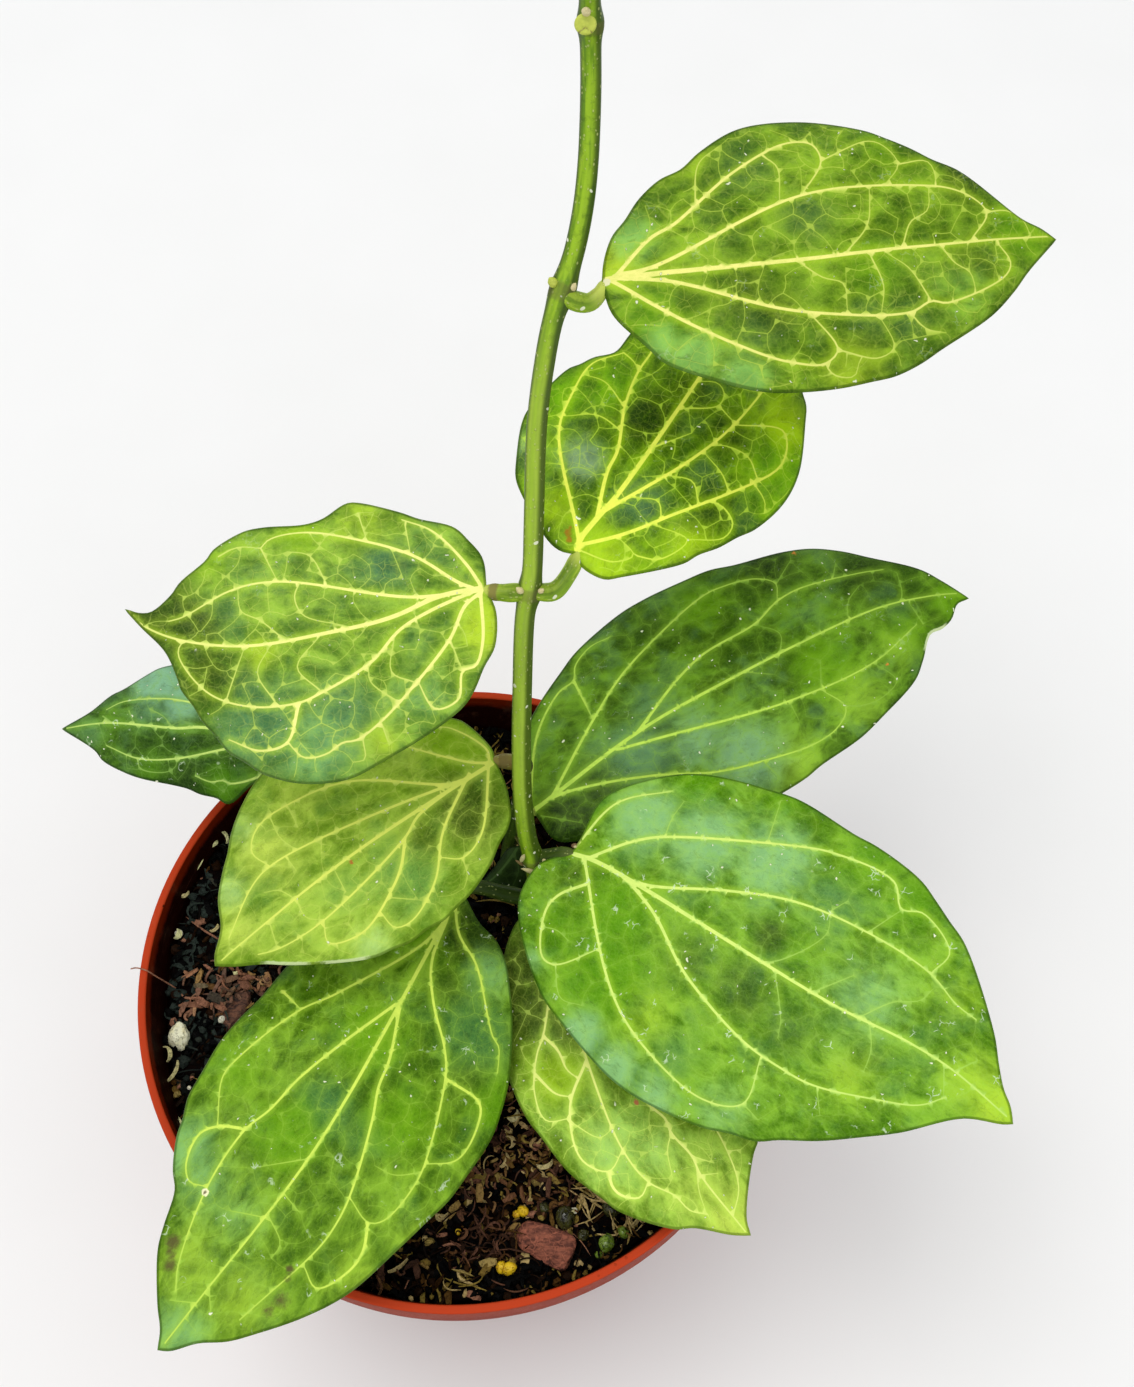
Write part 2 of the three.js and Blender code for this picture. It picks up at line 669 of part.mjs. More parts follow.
addNode('pot', makePot(), standard(POT_COLOR, 0.55));
addNode('potting_mix', mix, standard(MIX_COLOR, 0.95));
addNode('bark_chip', chip(CHIPS.bark_chip, 0), standard(BARK_COLOR, 0.9));
addNode('bark_flake', chip(CHIPS.bark_flake, 0), standard(FLAKE_COLOR, 0.9));
addNode('perlite_lump', perlite(0), standard(PERLITE_COLOR, 0.95));
addNode('main_stem', mainStem(0), standard(STEM_COLOR, 0.5));
addNode('rear_shoot', shoot(REAR_SHOOT, 0), standard(SHOOT_COLOR, 0.55));
addNode('side_shoot', shoot(SIDE_SHOOT, 0), standard(SHOOT_COLOR, 0.55));
for (const leaf of LEAVES) addNode(leaf.name, makeLeaf(leaf), standard(leaf.color, 0.4));

export default plant;
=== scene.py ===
"""The looks of a potted hoya plant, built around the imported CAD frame."""
import math

import bpy
import numpy as np
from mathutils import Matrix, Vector, geometry, noise


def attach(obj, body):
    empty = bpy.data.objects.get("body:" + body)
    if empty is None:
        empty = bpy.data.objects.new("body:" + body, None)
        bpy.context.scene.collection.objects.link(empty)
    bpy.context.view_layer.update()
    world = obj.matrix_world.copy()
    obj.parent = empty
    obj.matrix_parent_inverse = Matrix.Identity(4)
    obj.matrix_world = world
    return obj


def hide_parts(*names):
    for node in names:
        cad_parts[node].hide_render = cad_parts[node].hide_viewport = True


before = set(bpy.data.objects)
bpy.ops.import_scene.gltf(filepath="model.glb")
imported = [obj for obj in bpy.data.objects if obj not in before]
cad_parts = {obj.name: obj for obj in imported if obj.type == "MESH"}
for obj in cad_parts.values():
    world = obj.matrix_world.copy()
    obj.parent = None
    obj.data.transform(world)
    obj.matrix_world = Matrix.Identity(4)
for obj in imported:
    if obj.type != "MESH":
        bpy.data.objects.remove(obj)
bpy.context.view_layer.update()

# Sizes are in millimetres until a piece is made, as in the CAD source
MM = 0.001

# Camera, in metres, at the photograph's viewing angle and for its 1134 x 1387 frame
PHOTO_HEIGHT = 1387
CAMERA_PLACE = (0.023, -0.126, 0.491)
CAMERA_TILT = math.radians(27.5)
FOCAL_PIXELS = 1800
SENSOR = 36

# How the studio light shows a colour: how much brighter, and how much shine it adds
LIGHT_GAIN = 1.14
SHINE = 0.006

# Pot
POT_HEIGHT = 116
RIM_RADIUS = 70
RIM_INNER_RADIUS = 68.2
BAND_HEIGHT = 15
BAND_STEP = 2.4
BASE_RADIUS = 51
POT_WALL = 1.8
FLOOR_THICKNESS = 2.2
DRAIN_HOLES = 7
DRAIN_RADIUS = 4
DRAIN_CIRCLE = 33
MIX_DEPTH_BELOW_RIM = 13
MIX_CLEARANCE = 0.3
BED_STEPS = 150
BED_RINGS = 62
POT_STEPS = 192

# Stems
MAIN_STEM = [
    (17, 13, 62), (17, 13, 98), (16.6, 14.5, 120), (15.9, 17.4, 141), (14.7, 19.8, 147),
    (14, 23.7, 156), (13.9, 28.8, 168), (14.3, 35.8, 182), (15.1, 43.0, 198), (16, 45.4, 203),
    (16.6, 48.0, 207), (17, 53.7, 216), (17.7, 63, 231), (19.2, 68.5, 242), (20.6, 72.3, 248),
    (22.7, 76.4, 253), (24.5, 80.5, 257.5), (25.8, 84.9, 262.5), (26.5, 89.2, 267.5),
    (26.8, 93.4, 272.5), (26.9, 96.6, 278), (26.8, 99.3, 284), (26.6, 100.6, 291), (26.4, 101.6, 301),
]
STEM_FOOT_RADIUS = 2.1
STEM_TOP_RADIUS = 1.7
STEM_NODE_HEIGHTS = [122, 141, 203, 252, 287]
REAR_SHOOT = [(9, 31, 70), (9, 31, 103), (10.8, 31.7, 122), (12.7, 32.4, 138), (14, 33, 155)]
SIDE_SHOOT = [(-21, 37, 78), (-21, 37, 104), (-22, 37.5, 124), (-24, 38, 142)]
SHOOT_RADIUS = 1.7
NODE_SWELL = 0.55
NODE_SWELL_LENGTH = 2.2

# Leaf blades. A blade's outline and veins are courses in its own plane, along and across it from its
# base, read off the photograph; left is the side that a viewer at the base has on the left.
BLADE_HALF = 0.6
EDGE_HALF = 0.22
LEAVES = [
    {
        "name": "leaf_upper_right",
        "stalk": [(21.6, 74.9, 252.4), (24.3, 74.0, 251.0), (26.8, 73.9, 250.7), (28.6, 75.0, 251.7)],
        "stalk_radius": 1.5,
        "base": (29, 76, 253),
        "tip": (109, 91, 247),
        "facing": (0, -0.34, 0.94),
        "arch": 3.5, "cup": -3, "half_width": 24,
        "wave": 0.8, "waves": 1.5, "phase": 0,
        "left": [
            (0, 0), (1, 4), (3, 8), (5.5, 10.5), (8.5, 14), (12.5, 17), (16.5, 18.5), (20.5, 21.5),
            (28.5, 25.5), (39.5, 26), (50, 23), (53.5, 21), (57.5, 18.5), (61, 16), (65.5, 13.5),
            (75.5, 4), (79, 2), (81.5, 0),
        ],
        "right": [
            (0, 0), (1, -5.5), (6, -12), (8.5, -15), (20, -20.5), (25.5, -22), (31, -22.5),
            (38, -22.5), (43.5, -22), (48, -21.5), (52.5, -20), (56.5, -18), (66.5, -13), (71.5, -9),
            (75, -5.5), (81.5, 0),
        ],
        "main_veins": 5,
        "veins": [
            [(0.5, 0.5), (30.5, -0.5), (80.5, 0.5)],
            [(3, 1), (9, 1.5), (36, 11), (53.5, 11.5), (64.5, 9.5), (69, 5.5), (65, 0.5)],
            [(2.5, 1), (9, 6.5), (13.5, 8.5), (25.5, 17), (35.5, 21.5), (40, 21), (41, 17.5), (36, 11)],
            [
                (1.5, 0.5), (11, -1.5), (30.5, -9), (51.5, -11.5), (55.5, -10), (58.5, -10.5),
                (70, -6.5), (71.5, -4), (69.5, 0),
            ],
            [(1.5, 0), (13, -9), (25, -16), (31, -18), (35.5, -18.5), (38, -16.5), (34, -10)],
            [(41, 17.5), (50, 20.5), (52.5, 19.5), (54.5, 15.5), (51, 11.5)],
            [(54.5, 15.5), (60, 15.5), (60.5, 11.5), (59.5, 10.5)],
            [(31, 19.5), (33, 17), (32, 10.5)],
            [(69, 5.5), (73, 5.5), (75.5, 4), (76.5, 0.5)],
            [(55.5, -10), (52.5, -4), (49, -1)],
            [(38, -16.5), (45, -18.5), (48, -17), (46, -11.5)],
            [(51.5, -11.5), (54, -14.5), (57.5, -15.5)],
            [(33.5, -1), (37, -4), (40.5, -5.5), (40.5, -10)],
            [(46, -1), (47.5, -6.5), (46.5, -11)],
            [(59, 0), (61, -3.5), (63.5, -5.5), (64, -9)],
            [(42, 0), (46.5, 4.5), (48.5, 12)],
            [(52, 0), (54.5, 4.5), (58, 6.5), (59, 10.5)],
            [(17.5, 11.5), (19.5, 19), (23.5, 22)],
            [(35.5, -18.5), (37, -20.5), (40.5, -21), (41.5, -19)],
        ],
    },
    {
        "name": "leaf_middle_right",
        "stalk": [(16, 45.4, 203), (20.6, 45, 203.6), (23.6, 48.2, 205.2)],
        "stalk_radius": 1.55,
        "base": (25, 51, 207),
        "tip": (65, 119, 213),
        "facing": (0, -0.3, 0.95),
        "arch": 3, "cup": -3, "half_width": 27,
        "wave": 1, "waves": 1.3, "phase": 0.2,
        "left": [
            (0, 0), (-1, 3), (-0.5, 6), (4.5, 14.5), (7, 17.5), (10.5, 19.5), (17.5, 22.5), (21, 23),
            (32, 21), (34, 19.5), (36.5, 18), (39.5, 15), (44, 14.5), (51, 14), (71, 5.5), (79, 0),
        ],
        "right": [
            (0, 0), (-1.5, -1.5), (-1.5, -6.5), (0.5, -9), (9, -17.5), (12, -19), (15.5, -21.5),
            (19.5, -23.5), (23, -25.5), (31, -27.5), (38, -27), (47.5, -23), (50.5, -21.5),
            (52.5, -19.5), (60, -14.5), (69.5, -8), (79, 0),
        ],
        "main_veins": 5,
        "veins": [
            [(0.5, 0.5), (2, 1), (14.5, -0.5), (42.5, -1.5), (65.5, -1), (77, 0)],
            [(2, 1), (19, 15.5), (27.5, 17.5), (35, 17.5), (40, 13.5)],
            [(7.5, 0.5), (16.5, 3.5), (21, 4), (30, 7.5), (37.5, 9), (43, 9), (48.5, 10), (57.5, 8.5)],
            [(8.5, 0.5), (27, -8.5), (38.5, -12), (53.5, -13), (60, -11)],
            [(1.5, 0.5), (6.5, -4.5), (12.5, -9), (37, -23.5), (43, -20.5), (38.5, -12.5)],
            [(0.5, 0.5), (2, -6.5), (5, -9), (6.5, -4.5)],
            [(5, -9), (7, -13.5), (13, -16), (12, -9)],
            [(25, 5.5), (25.5, 11), (22.5, 16)],
            [(29.5, 7.5), (32.5, 13.5), (32, 17.5)],
            [(40, 13.5), (39, 10.5), (37.5, 9)],
            [(25.5, -1.5), (32, -6)],
            [(35, -1.5), (40, -7.5), (43, -7), (44, -5), (42, -1.5)],
            [(40, -7.5), (38.5, -12)],
            [(13.5, -10), (16.5, -7.5), (14.5, -3)],
            [(20.5, -14), (23.5, -11), (21.5, -5.5)],
            [(26, -17.5), (28, -15), (30, -9.5)],
            [(31.5, -21), (34, -17.5), (33.5, -13), (31.5, -10)],
            [(21.5, -15), (22.5, -18), (21, -21.5), (17.5, -21.5), (13, -16)],
            [(30.5, -20), (28.5, -24.5), (26.5, -25.5)],
        ],
    },
    {
        "name": "leaf_middle_left",
        "stalk": [(16, 45.4, 203), (12, 44.7, 203.6)],
        "stalk_radius": 1.55,
        "base": (8, 45, 204),
        "tip": (-59, 42, 202),
        "facing": (0.05, -0.34, 0.94),
        "arch": 3, "cup": -4, "half_width": 26,
        "wave": 2.2, "waves": 2, "phase": 0.25,
        "left": [
            (0, 0), (-1.5, 4), (-1, 10.5), (1, 14), (5, 21), (20.5, 30), (27.5, 33.5), (35, 34),
            (43, 31.5), (46.5, 29), (49.5, 27), (51.5, 24), (53.5, 21.5), (55, 18.5), (57, 15.5),
            (57.5, 13.5), (59.5, 8.5), (64, 3.5), (67, 0),
        ],
        "right": [
            (0, 0), (0.5, -6), (3, -9.5), (5.5, -12), (12, -14), (15.5, -15.5), (22.5, -17.5),
            (25, -17.5), (29.5, -14.5), (33, -13.5), (41, -13.5), (44.5, -13), (50, -10), (51.5, -8),
            (56.5, -4), (58, -2), (62, 1), (64.5, 1), (67, 0),
        ],
        "main_veins": 8,
        "veins": [
            [(-0.5, -0.5), (8.5, 1), (17, 4.5), (26, 6.5), (44, 8.5), (57, 6.5), (64, 3), (66.5, 0)],
            [(1.5, 0), (14, 1), (38, -3), (46.5, -2), (56, 2.5), (58.5, 3)],
            [(1.5, 0), (5, -1.5), (12.5, -6.5), (22, -10), (33, -12), (39.5, -11), (41, -9.5)],
            [(1, -1), (3.5, -5), (9.5, -11.5), (15, -14)],
            [
                (1.5, 0), (10, 3.5), (16, 7), (21.5, 12.5), (31, 18), (35, 19.5), (44, 19.5),
                (52, 16.5), (57, 9.5), (56.5, 7.5), (55.5, 7),
            ],
            [
                (1, 0.5), (4, 3), (7, 9), (17, 20), (25, 26.5), (27.5, 27), (30.5, 29), (34.5, 29.5),
                (37.5, 26.5),
            ],
            [(35, 19.5), (37.5, 26.5), (43, 27.5), (49, 25)],
            [(1, 0.5), (1, 9.5), (2.5, 14), (5, 15), (6, 20), (10.5, 21.5), (13.5, 16)],
            [(7, 9), (5, 15)],
            [(41, -9.5), (38, -3)],
            [(49, -8.5), (45.5, -10), (41, -9.5)],
            [(14.5, -13.5), (13.5, -7)],
            [(23, -15.5), (21.5, -10)],
            [(20.5, 23.5), (19.5, 27.5)],
            [(24, 26.5), (24, 30), (26, 30.5)],
            [(17, 20), (22, 16), (22, 12.5)],
            [(14, 16.5), (18, 14.5), (17, 8)],
            [(31, 17.5), (35, 13), (30.5, 7.5)],
            [(37.5, 7.5), (41.5, 4), (45, 2), (45.5, -2)],
            [(39.5, 19), (42.5, 13.5), (40, 9)],
            [(49, 18.5), (44.5, 8.5)],
            [(34, -2.5), (35, 0), (33.5, 3.5), (25.5, 6)],
            [(29, -2), (32, -7.5), (36, -8.5)],
        ],
    },
    {
        "name": "leaf_far_left",
        "stalk": [(-24, 38, 140), (-27, 39.4, 142.4)],
        "stalk_radius": 1.3,
        "base": (-33, 42, 146),
        "tip": (-88, 50, 136),
        "facing": (-0.05, -0.25, 0.97),
        "arch": 2, "cup": -3, "half_width": 14,
        "wave": 0.8, "waves": 1.5, "phase": 0.5,
        "left": [
            (0, 0), (4.5, 6), (10.5, 9.5), (16, 14), (18.5, 13), (22, 12.5), (25, 11.5), (35.5, 10),
            (39.5, 9), (45.5, 6.5), (47.5, 4.5), (56.5, 0),
        ],
        "right": [
            (0, 0), (1.5, -5), (9, -11.5), (17.5, -15.5), (25.5, -16.5), (36, -15), (38.5, -13.5),
            (43.5, -9.5), (46, -8), (50, -4), (56.5, 0),
        ],
        "main_veins": 4,
        "veins": [
            [(0, 0.5), (23, -1.5), (28, -1), (44.5, -1.5), (56, 0)],
            [(1, 0), (11.5, -5), (26.5, -7), (32.5, -7.5), (42.5, -6.5), (46, -4.5)],
            [(1, 1), (9, 1), (27, 5.5), (36.5, 6), (44.5, 3.5)],
            [(1.5, 2), (7, 7), (15, 10), (17, 9.5), (19.5, 10), (23, 9)],
            [(46.5, -3), (43.5, -1.5)],
            [(40.5, -4.5), (38.5, -1.5)],
            [(35.5, -5), (32, -3.5), (29, -1)],
            [(36.5, 6), (36, 8), (29.5, 8.5), (27.5, 7), (27.5, 5.5)],
        ],
    },
    {
        "name": "leaf_lower_left",
        "stalk": [(13.8, 33, 153), (10.8, 33.2, 154.8)],
        "stalk_radius": 1.4,
        "base": (8, 33, 156),
        "tip": (-45, -12, 158),
        "facing": (-0.05, -0.32, 0.94),
        "arch": 3.5, "cup": -4, "half_width": 25,
        "wave": 1, "waves": 1.3, "phase": 0.6,
        "left": [
            (0, 0), (1.5, 5.5), (4.5, 11), (7, 13), (10.5, 14.5), (14, 16.5), (18, 18), (21.5, 19),
            (25.5, 19.5), (29, 20), (33, 19.5), (37, 19.5), (40.5, 18.5), (44.5, 17.5), (51.5, 13.5),
            (58.5, 8.5), (62, 5.5), (66.5, 2.5), (69.5, 0),
        ],
        "right": [
            (0, 0), (-1, -2), (0, -10.5), (1.5, -12.5), (7, -17.5), (15.5, -22), (23.5, -24.5),
            (31.5, -25.5), (40, -25.5), (47, -22.5), (52, -19), (54.5, -16.5), (57.5, -14),
            (61.5, -10), (64.5, -5), (68.5, -1.5), (69.5, 0),
        ],
        "main_veins": 9,
        "veins": [
            [(1, 0.5), (38, -1), (68, 0)],
            [(8, 0), (30, -5.5), (50, -9), (55, -8), (64.5, -2.5)],
            [(8, 0), (12, -1.5), (26.5, -13), (36.5, -16.5), (47, -17), (51, -13.5), (50, -9)],
            [(1.5, 0), (5, -2.5), (16.5, -17)],
            [(1, -0.5), (0, -2.5), (3, -10.5), (5, -12.5)],
            [(8.5, 0), (20.5, 0.5), (25.5, 2.5), (48, 6), (58.5, 5), (62, 3.5)],
            [(25.5, 2.5), (29.5, 6.5), (33.5, 9), (43.5, 12.5), (50, 10), (48.5, 6.5)],
            [(6.5, -0.5), (18.5, 6), (26, 13), (34.5, 16.5), (38, 15.5), (38.5, 11.5)],
            [(1.5, 0), (12.5, 11), (18.5, 12.5), (22, 10)],
            [(18.5, 12.5), (20, 16), (22, 17.5)],
            [(35, 10.5), (31, 14)],
            [(41.5, 4), (40.5, -1.5)],
            [(50, -0.5), (51.5, -4), (54, -5.5)],
            [(50, -0.5), (50.5, 3.5), (48, 6)],
            [(56.5, -0.5), (58.5, 5)],
            [(40, -16.5), (41, -12)],
            [(44, -17), (45, -12.5), (44, -8.5)],
            [(46.5, -8.5), (46.5, -5)],
            [(39, -7), (41, -4.5)],
        ],
    },
    {
        "name": "leaf_front_left",
        "stalk": [(16.5, 14.9, 123), (10, 15, 126.5), (4, 15.2, 130)],
        "stalk_radius": 1.6,
        "base": (0, 15, 132),
        "tip": (-52, -80, 142),
        "facing": (0.02, -0.22, 0.97),
        "arch": 5, "cup": -4, "half_width": 28,
        "wave": 1.2, "waves": 2, "phase": 0.1,
        "left": [
            (0, 0), (5.5, 8), (7, 13), (10, 17), (15, 21), (20, 24.5), (30.5, 30), (37, 32), (43, 33),
            (53.5, 32.5), (58.5, 32), (64, 30.5), (71, 28.5), (83, 24.5), (91, 19.5), (98, 13.5),
            (101.5, 10), (104.5, 5.5), (108, 2), (109, 0),
        ],
        "right": [
            (0, 0), (3, -5.5), (9.5, -10.5), (18.5, -14.5), (27, -17.5), (34, -20), (44, -21),
            (49.5, -22), (55.5, -22.5), (62.5, -22), (68, -21.5), (72, -20), (75.5, -19), (81, -16),
            (84, -13.5), (90.5, -11.5), (94.5, -10), (102.5, -4.5), (106, -1.5), (109, 0),
        ],
        "main_veins": 10,
        "veins": [
            [(0.5, 1), (29.5, 3.5), (65.5, 5), (107.5, 0.5)],
            [(29.5, 3.5), (54, -5), (62.5, -6.5), (68.5, -8.5), (81, -8.5), (95.5, -5), (99, -3)],
            [(68, -8.5), (70, -13), (73, -15.5), (79, -14.5), (81.5, -12), (81, -9.5)],
            [
                (9.5, 2), (16, 1), (22.5, -1.5), (36, -8.5), (42, -12.5), (56.5, -17.5), (61.5, -18),
                (70, -13.5),
            ],
            [(40.5, -18), (42, -13)],
            [
                (30, 3.5), (42, 8), (47.5, 9), (54, 11.5), (68.5, 15.5), (74.5, 16), (79.5, 15.5),
                (97.5, 10),
            ],
            [
                (8.5, 2), (19.5, 4.5), (27, 9.5), (33.5, 16), (38, 19), (53, 24), (59.5, 25),
                (68.5, 23.5), (70.5, 21), (68.5, 15.5),
            ],
            [(70.5, 21), (75.5, 23), (80, 22.5), (85.5, 19), (83.5, 15)],
            [(4.5, 1.5), (10.5, 6), (14.5, 12.5), (25.5, 23), (26.5, 25), (31, 27.5)],
            [(38.5, 19.5), (38.5, 27.5), (42.5, 29.5), (51, 29.5), (55.5, 24.5)],
            [(57.5, 24.5), (60.5, 20.5), (61, 16.5)],
            [(67, 4.5), (73.5, -3)],
            [(74.5, 4.5), (76, 9.5)],
            [(80, 4), (82.5, -3)],
            [(79.5, 4.5), (82.5, 9), (85.5, 9)],
            [(99, 1.5), (101, -3)],
            [(95.5, 2), (99.5, 5)],
        ],
    },
    {
        "name": "leaf_front",
        "stalk": [(16.6, 14.5, 121), (17.3, 12.7, 122.8)],
        "stalk_radius": 1.5,
        "base": (18, 11, 125),
        "tip": (59, -57, 128),
        "facing": (0, -0.2, 0.98),
        "arch": 3, "cup": -2.5, "half_width": 25,
        "wave": 1.2, "waves": 1.6, "phase": 0.4,
        "left": [
            (0, 0), (2, 6.5), (7, 11), (15, 16), (26, 19.5), (39, 19.5), (50.5, 18.5), (59, 15),
            (65, 11.5), (67, 9), (76.5, 1), (79.5, 0),
        ],
        "right": [
            (0, 0), (-2, -4.5), (1.5, -10), (11, -17.5), (19.5, -22), (27, -24.5), (36.5, -25.5),
            (41, -25), (49.5, -24), (54, -22.5), (57.5, -21), (61.5, -19.5), (70.5, -12), (72.5, -8.5),
            (77.5, -3), (79.5, 0),
        ],
        "main_veins": 8,
        "veins": [
            [
                (-1.5, 0), (17.5, -3.5), (32.5, -4), (48.5, -3), (52, -2), (55, -2.5), (61, -1.5),
                (65, -2), (78.5, -0.5),
            ],
            [(5, -1), (33, -9), (52.5, -12.5), (60.5, -11.5), (65.5, -8.5), (69.5, -7.5), (72, -5)],
            [(33, -9), (39.5, -17), (49.5, -20.5), (54.5, -17), (52.5, -12.5)],
            [(54.5, -17), (57, -18), (59.5, -17.5), (62, -14.5), (60.5, -11.5)],
            [
                (-0.5, 0), (10, -4.5), (17.5, -9), (23.5, -14), (26, -17), (32.5, -21.5), (39, -22.5),
                (41.5, -18),
            ],
            [(23.5, -14), (28, -13), (32.5, -13.5), (35.5, -12.5)],
            [(29.5, -19.5), (35.5, -18), (38, -15.5)],
            [(-0.5, 0), (47.5, 5.5), (64, 5), (71, 3), (74.5, -0.5)],
            [(63.5, -2), (67.5, -4), (71.5, -5)],
            [(61, -1.5), (64.5, 1.5)],
            [(55, -2.5), (57.5, -5), (62.5, -7)],
            [(42, -18.5), (48, -15), (47.5, -11)],
            [(64, 5), (65, 7.5)],
            [(65, -2), (66.5, 1)],
        ],
    },
    {
        "name": "leaf_front_right",
        "stalk": [(15.9, 17.4, 141), (19.5, 16.9, 142.6), (22.3, 16.4, 145.2)],
        "stalk_radius": 1.6,
        "base": (24, 16, 147),
        "tip": (106, -42, 156),
        "facing": (0, -0.3, 0.95),
        "arch": 5, "cup": -5, "half_width": 32,
        "wave": 1.4, "waves": 1.8, "phase": 0.2,
        "left": [
            (0, 0), (0, 3.5), (-1, 12), (1, 16.5), (9, 24.5), (14.5, 28), (21, 30.5), (26.5, 32),
            (34, 33.5), (48, 32.5), (53, 32.5), (63.5, 31), (68, 29), (72, 27), (77, 24.5), (90, 12.5),
            (93.5, 8), (96.5, 4.5), (99, 2.5), (101, 0),
        ],
        "right": [
            (0, 0), (-5, -5.5), (-5, -13), (-2.5, -17), (1, -20.5), (10.5, -27.5), (17, -30),
            (27, -33), (32.5, -34), (39.5, -34), (52, -32), (57.5, -30), (62.5, -28.5), (66, -26),
            (72.5, -22), (79, -17), (84.5, -12.5), (93, -4), (99.5, -1), (101, 0),
        ],
        "main_veins": 7,
        "veins": [
            [(0.5, 0), (5.5, 1), (62, 1), (77.5, 2.5), (87, 2.5), (99.5, 0.5)],
            [(13, 1), (19, 2.5), (33, 9.5), (45.5, 14.5), (60, 16.5), (74.5, 16), (81.5, 13.5), (86, 13)],
            [
                (4, 1), (11, 9), (15.5, 12.5), (40.5, 25), (46.5, 27), (59.5, 28), (63.5, 24),
                (67.5, 25.5), (75.5, 21.5), (74.5, 16),
            ],
            [(0, 1.5), (2.5, 13.5), (11, 21.5)],
            [
                (14, 1), (22.5, -2), (32.5, -8), (38.5, -10.5), (51, -14), (59.5, -14.5), (66.5, -14),
                (77.5, -10), (85, -6.5), (88.5, -2.5),
            ],
            [(3, 0.5), (22.5, -19), (32.5, -24.5), (49.5, -27.5), (57, -24), (55.5, -14.5)],
            [(7, -3.5), (2.5, -9), (2, -13), (6.5, -21), (10, -21), (16.5, -13.5)],
            [(3, -16), (6.5, -15), (9.5, -15.5)],
            [(10, -21), (14.5, -26), (19, -25)],
            [(58, 1.5), (63, 8.5)],
            [(46, 0.5), (49.5, 3.5), (54, 12), (52.5, 16)],
            [(67.5, 1.5), (71.5, 7.5), (75.5, 10.5), (76.5, 14)],
            [(60.5, 16.5), (63.5, 23.5)],
            [(52, 16), (54, 20)],
            [(69.5, 2), (72.5, -2.5), (73.5, -7.5)],
            [(49, 1), (55, -6.5), (56.5, -10)],
            [(85.5, 2), (88, -2.5)],
            [(87.5, 2.5), (90, 6.5)],
            [(67.5, -14), (70.5, -18)],
            [(57, -24), (61, -25)],
            [(15.5, 12.5), (14.5, 16.5), (14.5, 21)],
            [(34, 22), (31, 31.5)],
        ],
    },
    {
        "name": "leaf_back_right",
        "stalk": [(12.7, 32.4, 138.5), (14.6, 30.3, 139.6)],
        "stalk_radius": 1.5,
        "base": (16, 28, 141),
        "tip": (111, 75, 150),
        "facing": (0, -0.26, 0.96),
        "arch": 4, "cup": -4, "half_width": 24,
        "wave": 1, "waves": 1.6, "phase": 0.3,
        "left": [
            (0, 0), (0.5, 5.5), (3.5, 12), (7, 17), (11.5, 20.5), (19, 25), (24.5, 28), (36.5, 31.5),
            (43, 32), (52.5, 31.5), (58.5, 31), (64, 29.5), (75.5, 27.5), (81.5, 25.5), (87, 22),
            (91.5, 18), (100, 10.5), (103, 6), (106.5, 0),
        ],
        "right": [
            (0, 0), (1.5, -7.5), (6, -10), (12.5, -13.5), (20.5, -16.5), (40, -20), (54.5, -19.5),
            (59, -18.5), (69.5, -17), (76, -15), (86.5, -11), (90, -8), (94.5, -3.5), (97.5, -3.5),
            (100.5, -2.5), (103.5, 0), (106.5, 0),
        ],
        "main_veins": 7,
        "veins": [
            [(-0.5, 0), (27, 5), (40.5, 6), (86, 6.5), (98.5, 4), (106, 1.5)],
            [
                (27, 5), (40, 11.5), (47.5, 14), (60.5, 15), (67.5, 17.5), (73, 18), (87.5, 15.5),
                (92.5, 14),
            ],
            [
                (5.5, 1.5), (21, 12.5), (32, 19), (53.5, 26), (59.5, 26), (66, 24.5), (69.5, 21.5),
                (68, 18),
            ],
            [(-0.5, 1), (8, 14.5), (16.5, 21), (20.5, 22), (22.5, 25), (27.5, 27.5), (32, 27.5)],
            [(20.5, 22), (20, 12)],
            [(22, 3.5), (59, -3.5), (79.5, -4), (92.5, -0.5)],
            [
                (0, 0.5), (7.5, 0.5), (25, -4.5), (38, -10), (48.5, -12.5), (59.5, -14), (66, -13),
                (69.5, -10), (66.5, -4.5),
            ],
            [(69.5, -9.5), (72.5, -11), (77.5, -11.5), (82.5, -9.5), (79.5, -4)],
            [(-0.5, -0.5), (8, -7)],
            [(59, -3.5), (59, -8.5)],
            [(61.5, 6), (64.5, 10.5), (60.5, 15)],
            [(66.5, -4), (69.5, 1.5)],
            [(92, 5.5), (93.5, 7.5), (95, 12)],
            [(79, 6), (81.5, 10.5), (86, 13)],
            [(94, -1), (93.5, 5)],
            [(70, 21.5), (75.5, 25)],
            [(81.5, 17), (84, 20)],
            [(54, 6), (59, 3)],
            [(48, -12.5), (49.5, -16.5)],
        ],
    },
    {
        "name": "leaf_small",
        "stalk": [(10.9, 31.6, 121), (12.2, 29.8, 121.5)],
        "stalk_radius": 0.9,
        "base": (13, 28, 122),
        "tip": (3, 20, 117),
        "facing": (-0.25, -0.1, 0.96),
        "arch": 1, "cup": -1.5, "half_width": 5,
        "wave": 0, "waves": 1, "phase": 0,
        "left": [
            (0, 0), (0, 4.5), (3, 6.5), (9, 6.5), (12.5, 4), (14.5, 0),
        ],
        "right": [
            (0, 0), (2.5, -1.5), (6.5, -0.5), (10, 0), (14.5, 0),
        ],
        "main_veins": 1,
        "veins": [
            [(0, -0.5), (4, 1), (9, 1.5), (14, 0.5)],
            [(2, 0.5), (4, 4), (7.5, 5.5)],
        ],
    },
]
